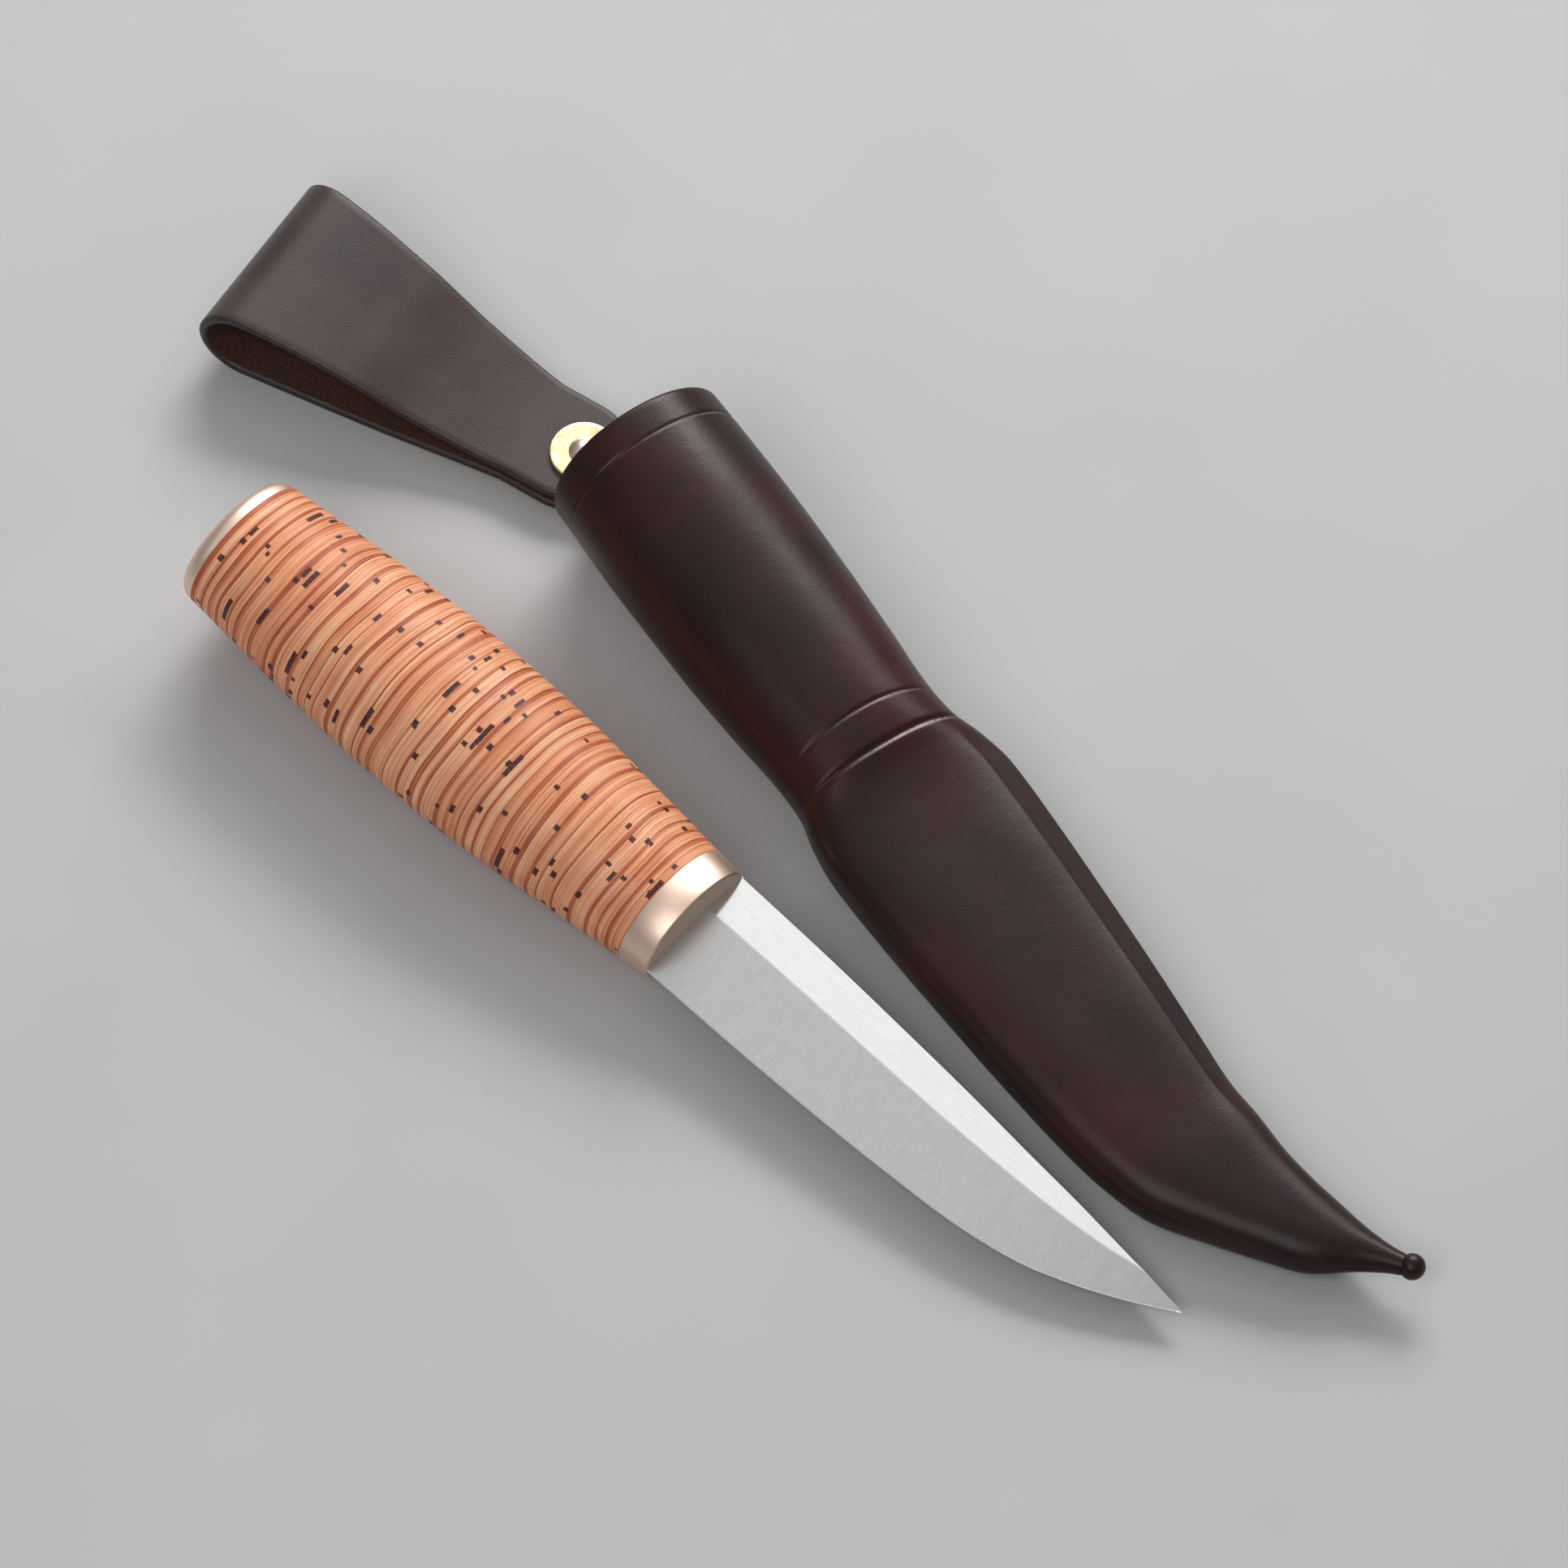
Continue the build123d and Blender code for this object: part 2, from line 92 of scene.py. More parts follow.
# Distance, sideways shift, rise, turn in degrees, half width, half height, squareness.
SHEATH_SECTIONS = [
    (0.0, -0.2, 0.0, 0, 17.1, 15.2, 2.1),
    (20.0, -0.2, 0.0, 0, 17.6, 14.9, 2.1),
    (40.0, -0.2, 0.0, 0, 17.4, 13.8, 2.1),
    (55.0, -0.1, 0.0, 0, 16.6, 12.7, 2.2),
    (66.0, 0.0, 0.0, 0, 15.9, 11.8, 2.2),
    (74.0, 0.2, 0.0, 0, 16.2, 10.6, 2.4),
    (80.0, 0.4, 0.0, 0, 17.8, 8.9, 2.8),
    (87.0, 0.6, 0.0, 0, 18.8, 8.0, 3.3),
    (103.0, 0.6, 0.0, 0, 18.4, 7.8, 3.5),
    (120.0, 0.7, 0.0, 0, 17.4, 7.6, 3.5),
    (136.0, 0.8, 0.0, 0, 16.3, 7.4, 3.5),
    (150.0, 1.0, 0.0, 2, 15.1, 7.0, 3.4),
    (159.0, 1.6, 0.0, 5, 14.1, 6.7, 3.2),
    (167.0, 3.2, 0.1, 9, 13.1, 6.4, 3.0),
    (175.5, 6.2, 0.2, 14, 10.4, 5.8, 2.8),
    (183.0, 9.4, 0.4, 20, 8.3, 5.2, 2.6),
    (189.0, 12.3, 0.8, 28, 6.8, 4.4, 2.3),
    (194.5, 16.2, 1.4, 36, 4.0, 3.2, 2.0),
    (198.6, 18.8, 2.0, 40, 2.4, 2.3, 2.0),
    (200.8, 20.2, 2.3, 41, 1.9, 1.9, 2.0),
]
TAIL_LENGTH = 200.8
CAVITY_LENGTH = 185.0
BALL_AT = (202.0, 21.2, 2.4)
BALL_RADIUS = 2.3
SEAM_HALF_WIDTH = 0.8
SEAM_DEPTH = 0.9
# Creases pressed round the front: distance, depth, half width, bow along the sheath, reach
# round each side as a share of the half width.
CREASES = [(6.2, 0.15, 0.3, 0.0, 1.1), (69.2, 0.2, 0.38, 1.0, 0.92), (75.6, 0.4, 0.55, 0.4, 1.0)]

# Ridge along the far shoulder of the blade's part: its place as a share of the half width and
# how steeply the leather falls away beyond it.
RIDGE_AT = 0.72
RIDGE_FALL = 0.85
RIDGE_SOFT = 0.12

STITCHES = 36
STITCH_PITCH = 4.4
STITCH_LENGTH = 3.3
STITCH_START = 8.0
THREAD_RADIUS = 0.28
THREAD_DEPTH = 0.42

# ---- belt loop, washer and rivet ----
LOOP_TURN = radians(202.6)
STRAP = 1.8
STRAP_BACK_Z = 1.0
STRAP_GAP = 0.1
LOOP_LENGTH = 69.9
LOOP_TOP_Z = 15.9
FLAT_LENGTH = 11.0
NARROW_HALF = 10.2
WIDE_HALF = 17.5
END_CENTRE = 2.5
FRONT_Z = STRAP_BACK_Z + STRAP + LEATHER + 2 * STRAP_GAP
TAB_Z = STRAP_BACK_Z + STRAP + STRAP_GAP
TAB_HALF_WIDTH = 7.5
TAB_SHIFT = 0.8
TAB_REACH = 9.0
TAB_CORNER = 6.5
RIVET_RADIUS = 1.25
COLLAR_PLAY = 0.02
WASHER_RADIUS = 6.0
WASHER_THICKNESS = 0.8
HEAD_RADIUS = 2.6
HEAD_HEIGHT = 1.7
TAIL_RADIUS = 2.2
TAIL_HEIGHT = 0.5


def smooth_between(stations, distance, column=1):
    """Cubic through one column of a list of stations, at a distance along it."""
    index = 0
    while index < len(stations) - 2 and distance > stations[index + 1][0]:
        index += 1
    low = max(index - 1, 0)
    high = min(index + 2, len(stations) - 1)
    x0, x1 = stations[index][0], stations[index + 1][0]
    y0, y1 = stations[index][column], stations[index + 1][column]
    slope_0 = (y1 - stations[low][column]) / (x1 - stations[low][0])
    slope_1 = (stations[high][column] - y0) / (stations[high][0] - x0)
    t = (distance - x0) / (x1 - x0)
    span = x1 - x0
    start = (1 + 2 * t) * (1 - t) ** 2 * y0 + t * (1 - t) ** 2 * span * slope_0
    end = t * t * (3 - 2 * t) * y1 + t * t * (t - 1) * span * slope_1
    return start + end


def clamp(value, low=0.0, high=1.0):
    return max(low, min(high, value))


def smoothstep(low, high, value):
    t = clamp((value - low) / (high - low))
    return t * t * (3 - 2 * t)


def bell(value, half_width):
    return exp(-(value / half_width) ** 2)


def squared(value, power):
    """A cosine or sine pushed outwards, which turns an oval into a rounded rectangle."""
    return abs(value) ** power * (1 if value > 0 else -1)


def circle(count):
    """Evenly spaced angles, once round."""
    return [2 * pi * step / count for step in range(count)]


# ==== meshes ====


def grid_faces(rows, columns):
    """Quads between closed rings of points."""
    faces = []
    for row in range(rows - 1):
        for column in range(columns):
            a = row * columns + column
            b = row * columns + (column + 1) % columns
            faces.append((a, b, b + columns, a + columns))
    return faces


def ring_tube(rings):
    """Points and faces of a closed tube through rings that all have as many points."""
    columns = len(rings[0])
    points = [point for ring in rings for point in ring]
    faces = grid_faces(len(rings), columns)
    faces.append(tuple(reversed(range(columns))))
    faces.append(tuple(range(len(points) - columns, len(points))))
    return points, faces


def join(*parts):
    """One list of points and faces from several."""
    points, faces = [], []
    for part_points, part_faces in parts:
        offset = len(points)
        points += part_points
        faces += [tuple(index + offset for index in face) for face in part_faces]
    return points, faces


def add_object(name, data):
    """Puts a new object into the scene."""
    obj = bpy.data.objects.new(name, data)
    bpy.context.scene.collection.objects.link(obj)
    return obj


def piece(name, shape, body, nodes, materials):
    """Makes a mesh piece from millimetre points; it rides on a body and replaces CAD nodes."""
    points, faces = shape
    mesh = bpy.data.meshes.new(name)
    mesh.from_pydata([tuple(Vector(point) * MM) for point in points], [], faces)
    mesh.validate()
    obj = add_object(name, mesh)
    for material in materials:
        mesh.materials.append(material)
    for polygon in mesh.polygons:
        polygon.use_smooth = True
    mesh.update()
    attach(obj, body)
    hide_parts(*nodes)
    return obj


def sharpen(obj, angle=35):
    """Keeps edges sharper than an angle crisp in the smooth shading."""
    obj.data.set_sharp_from_angle(angle=radians(angle))


def attribute(obj, name, values):
    """Stores one number for each point, for the materials."""
    layer = obj.data.attributes.new(name, "FLOAT", "POINT")
    layer.data.foreach_set("value", values)


# ==== material nodes ====


def srgb(red, green, blue):
    """Linear colour of an 8-bit screen colour."""
    parts = [value / 255 for value in (red, green, blue)]
    linear = [v / 12.92 if v <= 0.04045 else ((v + 0.055) / 1.055) ** 2.4 for v in parts]
    return (*linear, 1.0)


class Shade:
    """A material's node tree, with short calls for the nodes that all of them use."""

    def __init__(self, name):
        self.material = bpy.data.materials.new(name)
        self.material.use_nodes = True
        self.tree = self.material.node_tree
        self.shader = self.tree.nodes["Principled BSDF"]

    def add(self, kind, *inputs, **settings):
        node = self.tree.nodes.new("ShaderNode" + kind)
        for key, value in settings.items():
            setattr(node, key, value)
        for index, value in enumerate(inputs):
            self.feed(node.inputs[index], value)
        return node

    def feed(self, socket, value):
        if value is None:
            return
        if isinstance(value, bpy.types.NodeSocket):
            self.tree.links.new(value, socket)
        else:
            socket.default_value = value

    def set(self, **values):
        """Sets or links the shader's inputs; underscores stand for spaces."""
        for key, value in values.items():
            self.feed(self.shader.inputs[key.replace("_", " ")], value)

    def math(self, operation, first, second, limit=False):
        return self.add("Math", first, second, operation=operation, use_clamp=limit).outputs[0]

    def plus(self, first, second):
        return self.math("ADD", first, second)

    def minus(self, first, second):
        return self.math("SUBTRACT", first, second)

    def times(self, first, second):
        return self.math("MULTIPLY", first, second)

    def place(self):
        """The piece's own coordinates, in millimetres."""
        return self.scaled(self.add("TexCoord").outputs["Object"], (1 / MM,) * 3)

    def scaled(self, vector, factors):
        return self.add("VectorMath", vector, factors, operation="MULTIPLY").outputs[0]

    def pack(self, x, y, z=0.0):
        return self.add("CombineXYZ", x, y, z).outputs[0]

    def value(self, name):
        """A number stored on the mesh."""
        return self.add("Attribute", attribute_name=name).outputs["Fac"]

    def noise(self, vector, scale=1.0, detail=2.0, roughness=0.5):
        node = self.add("TexNoise")
        self.feed(node.inputs["Vector"], vector)
        node.inputs["Scale"].default_value = scale
        node.inputs["Detail"].default_value = detail
        node.inputs["Roughness"].default_value = roughness
        return node.outputs["Fac"]

    def span(self, value, low, high, to_low=0.0, to_high=1.0):
        """Maps low..high to to_low..to_high, clamped."""
        return self.add("MapRange", value, low, high, to_low, to_high).outputs[0]

    def ramp(self, value, stops):
        """Colour from a value, between (position, colour) stops."""
        node = self.add("ValToRGB", value)
        points = node.color_ramp.elements
        while len(points) < len(stops):
            points.new(0.5)
        for point, (position, color) in zip(points, stops):
            point.position = position
            point.color = color
        return node.outputs["Color"]

    def mix(self, share, first, second, blend="MIX"):
        node = self.add("Mix", data_type="RGBA", blend_type=blend)
        self.feed(node.inputs[0], share)
        self.feed(node.inputs[6], first)
        self.feed(node.inputs[7], second)
        return node.outputs[2]

    def bump(self, height, distance, normal=None):
        """Relief from a height of 0 to 1 that stands for a distance in millimetres."""
        node = self.add("Bump")
        node.inputs["Strength"].default_value = 1.0
        node.inputs["Distance"].default_value = distance * MM
        self.feed(node.inputs["Height"], height)
        self.feed(node.inputs["Normal"], normal)
        return node.outputs["Normal"]


# ==== knife ====


def handle_half_width(distance):
    return smooth_between(HANDLE_WIDTHS, distance)


def rest_height(distance):
    """Height of the pommel's end at which the handle touches the table at a distance."""
    half_thickness = HANDLE_FLATNESS * handle_half_width(distance)
    return half_thickness * cos(KNIFE_TILT) + distance * sin(KNIFE_TILT)


KNIFE_Z = max(rest_height(distance) for distance in range(int(BLADE_START)))
KNIFE_ORIGIN = Vector((KNIFE_X, KNIFE_Y, KNIFE_Z))
KNIFE_ALONG = Vector(
    (cos(KNIFE_TURN) * cos(KNIFE_TILT), sin(KNIFE_TURN) * cos(KNIFE_TILT), -sin(KNIFE_TILT))
)
KNIFE_ACROSS = Vector((-sin(KNIFE_TURN), cos(KNIFE_TURN), 0))
KNIFE_UP = KNIFE_ALONG.cross(KNIFE_ACROSS)


def knife_point(distance, across, up):
    return KNIFE_ORIGIN + KNIFE_ALONG * distance + KNIFE_ACROSS * across + KNIFE_UP * up


def knife_axes(shade):
    """Distance along the knife, offset towards its spine and height, as numbers in a material."""
    from_origin = shade.add("VectorMath", shade.place(), tuple(KNIFE_ORIGIN), operation="SUBTRACT")
    found = []
    for direction in (KNIFE_ALONG, KNIFE_ACROSS, KNIFE_UP):
        dot = shade.add("VectorMath", from_origin.outputs[0], tuple(direction), operation="DOT_PRODUCT")
        found.append(dot.outputs["Value"])
    return found


def oval_ring(distance, inset, count, shift=None):
    """Ring round the handle, drawn in by an inset; shift moves each point along the knife."""
    half_width = handle_half_width(distance)
    ring = []
    for angle in circle(count):
        drawn = inset(angle) if callable(inset) else inset
        move = shift(angle) if shift else 0.0
        across = (half_width - drawn) * cos(angle)
        up = (half_width * HANDLE_FLATNESS - drawn) * sin(angle)
        ring.append(knife_point(distance + move, across, up))
    return ring


def slot_ring(distance, half_size, count, play=0.0):
    """Ring with the tang's squared outline."""
    power = 2 / 7
    ring = []
    for angle in circle(count):
        x = (half_size[0] + play) * squared(cos(angle), power)
        y = (half_size[1] + play) * squared(sin(angle), power)
        ring.append(knife_point(distance, x, y))
    return ring


def closed_loft(rings):
    """A solid with a hole through it: the last ring joins back to the first."""
    columns = len(rings[0])
    points = [point for ring in rings for point in ring]
    faces = grid_faces(len(rings), columns)
    last = (len(rings) - 1) * columns
    for column in range(columns):
        following = (column + 1) % columns
        faces.append((last + column, last + following, following, column))
    return points, faces


def pores(shade, level, arc, pitch, rows, half_high, lengths, chance, seed):
    """Ragged dark blocks on a jittered grid, one leaf high; 1 inside them and 0 outside."""
    place = shade.pack(
        shade.plus(shade.math("DIVIDE", level, rows), seed),
        shade.plus(shade.math("DIVIDE", arc, pitch), seed),
    )
    cells = shade.add("TexVoronoi", voronoi_dimensions="2D", distance="CHEBYCHEV")
    shade.feed(cells.inputs["Vector"], place)
    cells.inputs["Scale"].default_value = 1.0
    gap = shade.add("VectorMath", place, cells.outputs["Position"], operation="SUBTRACT")
    gap = shade.add("VectorMath", gap.outputs[0], operation="ABSOLUTE")
    sides = shade.add("SeparateXYZ", gap.outputs[0])
    luck = shade.add("SeparateColor", cells.outputs["Color"])
    rough = shade.noise(shade.pack(level, arc), 2.6)
    ragged = shade.times(shade.minus(rough, 0.5), 0.5)
    high = shade.plus(shade.times(sides.outputs[0], rows), shade.times(ragged, 0.5))
    long = shade.plus(shade.times(sides.outputs[1], pitch), ragged)
    reach = shade.span(luck.outputs[1], 0.0, 1.0, *lengths)
    over = shade.minus(long, reach)
    inside = shade.times(shade.span(high, half_high, half_high - 0.07), shade.span(over, 0.0, -0.08))
    return shade.times(inside, shade.math("LESS_THAN", luck.outputs[0], chance))


def bark_material():
    """Thin leaves of birch bark seen edge-on: pale and rusty lines with dark pores."""
    shade = Shade("birch_bark")
    along, across, up = knife_axes(shade)
    angle = shade.math("ARCTAN2", up, across)
    mean_radius = 14.0
    arc = shade.times(angle, mean_radius)
    tone, leaf, level = shade.value("tone"), shade.value("leaf"), shade.value("level")

    # Every leaf shows a few hair-thin lines that run round the handle.
    slow_arc = shade.times(arc, 0.045)
    lines = shade.noise(shade.pack(shade.times(level, 7.0), slow_arc, leaf), 1.0, 2.0, 0.6)
    cloud = shade.noise(shade.pack(shade.times(level, 0.3), shade.times(arc, 0.12)))
    drift = shade.span(cloud, 0.3, 0.7, -0.07, 0.07)
    shift = shade.plus(shade.span(lines, 0.25, 0.75, -0.26, 0.26), drift)
    shown = shade.math("ADD", tone, shift, limit=True)
    color = shade.ramp(
        shown,
        [
            (0.0, srgb(136, 62, 36)),
            (0.25, srgb(176, 90, 56)),
            (0.5, srgb(212, 132, 92)),
            (0.75, srgb(230, 162, 121)),
            (1.0, srgb(243, 197, 160)),
        ],
    )
    rust = shade.noise(shade.pack(shade.times(level, 6.5), shade.times(arc, 0.03), 7.0), 1.0, 1.0)
    color = shade.mix(shade.span(rust, 0.62, 0.7, 0.0, 0.7), color, srgb(142, 70, 42))

    # Small square pores, longer ones and a few long dashes.
    dark = pores(shade, level, arc, 5.6, 4.6, 0.55, (0.42, 0.8), 0.42, 0.0)
    dark = shade.math("MAXIMUM", dark, pores(shade, level, arc, 8.0, 5.6, 0.42, (0.35, 1.4), 0.42, 31.0))
    dark = shade.math("MAXIMUM", dark, pores(shade, level, arc, 15.0, 8.5, 0.5, (0.9, 3.2), 0.4, 57.0))
    pore_tone = shade.noise(shade.pack(level, arc), 1.7, 3.0)
    pore = shade.ramp(pore_tone, [(0.35, srgb(52, 22, 26)), (0.72, srgb(108, 50, 46))])
    color = shade.mix(dark, color, pore)

    height = shade.minus(shade.times(lines, 0.5), shade.times(dark, 0.7))
    shade.set(
        Base_Color=color,
        Roughness=shade.span(lines, 0.3, 0.7, 0.55, 0.42),
        Normal=shade.bump(height, 0.05),
        Specular_IOR_Level=0.4,
        Coat_Weight=0.05,
        Coat_Roughness=0.35,
        Subsurface_Weight=0.05,
        Subsurface_Scale=0.002,
    )
    return shade.material


def build_bark(material):
    """Forty discs, each of eight leaves with its own thickness, tone and relief."""
    draw = Random(40)
    count = HANDLE_POINTS
    pitch = (BOLSTER_START - POMMEL_LENGTH) / BARK_DISCS
    band_tones = []
    while len(band_tones) < BARK_DISCS * LEAVES_PER_DISC:
        band_tones += [draw.uniform(0.16, 0.38) for _ in range(draw.choice((1, 2, 2, 3)))]
        base = draw.uniform(0.62, 0.8)
        band_tones += [base + draw.uniform(-0.13, 0.13) for _ in range(draw.choice((4, 5, 7, 9)))]

    def wave(level):
        """How far a leaf's boundary strays along the knife, at an angle round it."""
        ends = smoothstep(0, 6, level - POMMEL_LENGTH) * smoothstep(0, 6, BOLSTER_START - level)

        def stray(angle):
            place = Vector((1.3 * cos(angle), 1.3 * sin(angle), level / 11))
            return 0.55 * ends * noise.noise(place)

        return stray

    def leaf_relief(depth, seed):
        """How far a leaf's face lies below the handle's outline, at an angle round it."""

        def inset(angle):
            return depth + 0.02 * noise.noise(Vector((7 * cos(angle), 7 * sin(angle), seed)))

        return inset

    for number in range(BARK_DISCS):
        start = POMMEL_LENGTH + number * pitch
        shares = [draw.uniform(0.6, 1.4) for _ in range(LEAVES_PER_DISC)]
        total = sum(shares)
        rings, tones, leaves, levels = [], [], [], []
        level = start
        for index, share in enumerate(shares):
            thickness = pitch * share / total
            tone = clamp(band_tones[number * LEAVES_PER_DISC + index])
            depth = 0.03 + 0.05 * (1 - tone) + draw.uniform(0, 0.025)
            leaf = draw.uniform(0, 50)
            for part, extra in ((0.03, 0.035), (0.18, 0.0), (0.82, 0.0), (0.97, 0.035)):
                at = level + thickness * part
                rings.append(oval_ring(at, leaf_relief(depth + extra, leaf), count, wave(at)))
                tones += [tone] * count
                leaves += [leaf] * count
                levels += [at] * count
            level += thickness
        for distance in (start + pitch - DISC_GAP, start + DISC_GAP):
            rings.append(slot_ring(distance, TANG_HALF, count, SLOT_PLAY))
            tones += [0.5] * count
            leaves += [0.0] * count
            levels += [distance] * count
        disc = f"{number + 1:02d}"
        shape = closed_loft(rings)
        obj = piece(f"bark_leaves_{disc}", shape, "knife", [f"bark_disc_{disc}"], [material])
        sharpen(obj, 40)
        attribute(obj, "tone", tones)
        attribute(obj, "leaf", leaves)
        attribute(obj, "level", levels)


def bronze_material():
    """Pale rose bronze, finely sanded round the handle, with a slightly deeper bloom in places."""
    shade = Shade("rose_bronze")
    along, across, up = knife_axes(shade)
    angle = shade.math("ARCTAN2", up, across)
    grain = shade.noise(shade.pack(shade.times(along, 16.0), shade.times(angle, 1.2)), 1.0, 3.0, 0.6)
    bloom = shade.noise(shade.place(), 0.12, 2.0, 0.5)
    color = shade.mix(shade.span(bloom, 0.3, 0.72), srgb(242, 216, 198), srgb(235, 204, 184))
    color = shade.mix(shade.span(grain, 0.5, 0.75, 0.0, 0.2), color, srgb(218, 186, 166))
    shade.set(
        Base_Color=color,
        Metallic=1.0,
        Roughness=shade.span(grain, 0.3, 0.75, 0.4, 0.48),
        Normal=shade.bump(grain, 0.004),
    )
    return shade.material


def build_pommel(material):
    """Cap with a rounded back rim, pierced for the tang's peened head."""
    count = HANDLE_POINTS
    play = METAL_PLAY[0]
    rounding = 2.2
    rings = [oval_ring(POMMEL_LENGTH - DISC_GAP, 0.03, count), oval_ring(rounding + 0.2, 0.0, count)]
    for step in range(9):
        angle = pi / 2 * step / 8
        rings.append(oval_ring(rounding * (1 - sin(angle)) + 0.02, rounding * (1 - cos(angle)), count))
    rings.append(slot_ring(0.0, (TANG_HEAD_HALF[0] + 0.5, TANG_HEAD_HALF[1] + 0.5), count))
    rings.append(slot_ring(0.25, TANG_HEAD_HALF, count, play))
    rings.append(slot_ring(POMMEL_LENGTH - DISC_GAP, TANG_HEAD_HALF, count, play))
    obj = piece("pommel_shell", closed_loft(rings), "knife", ["pommel_cap"], [material])
    sharpen(obj, 50)


def blade_row(distance):
    """Heights of the blade's spine, ridge and edge."""
    return [smooth_between(BLADE_SECTIONS, distance, column) for column in range(1, 4)]


def blade_half(distance, across):
    """Half the blade's thickness at an offset across it."""
    _, ridge, edge = blade_row(distance)
    if across < ridge:
        return EDGE_HALF + BEVEL_SLOPE * max(across - edge, 0.0)
    return EDGE_HALF + BEVEL_SLOPE * (ridge - edge) - FLAT_SLOPE * (across - ridge)


def seat_ring(distance, count):
    """Ring just outside the blade's root, where the bolster meets it."""
    spine, edge = BLADE_SECTIONS[0][1], BLADE_SECTIONS[0][3]
    middle, reach = (spine + edge) / 2, (spine - edge) / 2 + 0.02
    ring = []
    for angle in circle(count):
        across = middle + reach * cos(angle)
        half = blade_half(BLADE_START, min(max(across, edge), spine)) + 0.02
        up = half * (1 if sin(angle) > 0 else -1) * min(abs(sin(angle)) * 40, 1)
        ring.append(knife_point(distance, across, up))
    return ring


def build_bolster(material):
    """Collar with a softly broken front rim and a flat front face fitted round the blade."""
    count = HANDLE_POINTS
    play = METAL_PLAY[1]
    rounding = 0.35
    rings = [oval_ring(BOLSTER_START + DISC_GAP, 0.06, count), oval_ring(BOLSTER_START + 0.12, 0.0, count)]
    for step in range(7):
        angle = pi / 2 * step / 6
        at = BLADE_START - rounding + rounding * sin(angle)
        rings.append(oval_ring(at, rounding * (1 - cos(angle)), count))
    rings.append(seat_ring(BLADE_START, count))
    rings.append(seat_ring(BLADE_START - SEAT_DEPTH, count))
    rings.append(slot_ring(BLADE_START - SEAT_DEPTH, TANG_HALF, count, play))
    rings.append(slot_ring(BOLSTER_START + DISC_GAP, TANG_HALF, count, play))
    obj = piece("bolster_collar", closed_loft(rings), "knife", ["bolster"], [material])
    sharpen(obj, 50)


def steel_material(name, lines_per_mm, color_low, color_high, roughness, relief, lengthwise):
    """Ground steel: hair lines in one direction, brightness that drifts, a few stray scratches."""
    shade = Shade(name)
    along, across, up = knife_axes(shade)
    fine, slow = (across, along) if lengthwise else (along, across)
    lean = shade.plus(fine, shade.times(slow, 0.08))
    hair_place = shade.pack(shade.times(lean, lines_per_mm), shade.times(slow, 0.35), up)
    hair = shade.noise(hair_place, 1.0, 4.0, 0.7)
    broad = shade.noise(shade.pack(shade.times(lean, 0.5), shade.times(slow, 0.06)))
    blend = shade.plus(shade.times(hair, 0.85), shade.times(broad, 0.15))
    color = shade.mix(shade.span(blend, 0.3, 0.7), color_low, color_high)
    scratch_place = shade.pack(shade.times(along, 0.25), shade.times(across, 9.0), 3.0)
    scratch = shade.noise(scratch_place, 1.0, 1.0)
    color = shade.mix(shade.span(scratch, 0.75, 0.79, 0.0, 0.2), color, srgb(245, 245, 245))
    shade.set(
        Base_Color=color,
        Metallic=1.0,
        Roughness=shade.span(hair, 0.3, 0.7, roughness - 0.03, roughness + 0.04),
        Normal=shade.bump(hair, relief),
    )
    return shade.material


def build_blade(bevel, flat):
    """Blade with a crisp ridge, softened spine corners and its hidden tang."""
    steps = 150
    start, end = BLADE_SECTIONS[0][0], BLADE_SECTIONS[-1][0]
    break_width = 0.14
    rings = []
    for step in range(steps + 1):
        distance = start + (end - start) * step / steps
        spine, ridge, edge = blade_row(distance)
        ridge = min(ridge, spine - 0.03)
        low = min(edge, ridge - 0.1)
        ridge_half = EDGE_HALF + BEVEL_SLOPE * (ridge - low)
        spine_half = ridge_half - FLAT_SLOPE * (spine - ridge)
        soft = min(break_width, (spine - ridge) / 5, spine_half / 3)
        fine = min(0.25, (ridge - low) / 4)
        half = [
            (low, EDGE_HALF * 0.4),
            (low + fine, EDGE_HALF + BEVEL_SLOPE * fine),
            (ridge - soft, ridge_half - BEVEL_SLOPE * soft),
            (ridge + soft, ridge_half - FLAT_SLOPE * soft),
            (spine - soft, spine_half + FLAT_SLOPE * soft),
            (spine, spine_half + FLAT_SLOPE * soft - soft),
        ]
        outline = half + [(across, -up) for across, up in reversed(half)]
        rings.append([knife_point(distance, across, up) for across, up in outline])
    rings.insert(0, [point - KNIFE_ALONG * (SEAT_DEPTH - 0.02) for point in rings[0]])
    blade = ring_tube(rings)
    tang_rings = [slot_ring(at, TANG_HALF, 48) for at in (BLADE_START - SEAT_DEPTH, POMMEL_LENGTH)]
    tang_rings += [slot_ring(at, TANG_HEAD_HALF, 48) for at in (POMMEL_LENGTH, 0.1)]
    tang_rings.append(slot_ring(0.0, (TANG_HEAD_HALF[0] - 0.3, TANG_HEAD_HALF[1] - 0.3), 48))
    shape = join(blade, ring_tube(tang_rings))
    obj = piece("blade_and_tang", shape, "knife", ["blade"], [bevel, flat])
    columns = len(rings[0])
    bevel_columns = (0, 1, 9, 10, 11)
    for polygon in obj.data.polygons:
        first = min(polygon.vertices)
        on_bevel = first < len(rings) * columns and first % columns in bevel_columns
        polygon.material_index = 0 if on_bevel else 1
    sharpen(obj, 2.2)


# ==== sheath ====


def sheath_row(distance):
    """Cross-section's measures at any distance from the mouth."""
    return [smooth_between(SHEATH_SECTIONS, distance, column) for column in range(1, 7)]


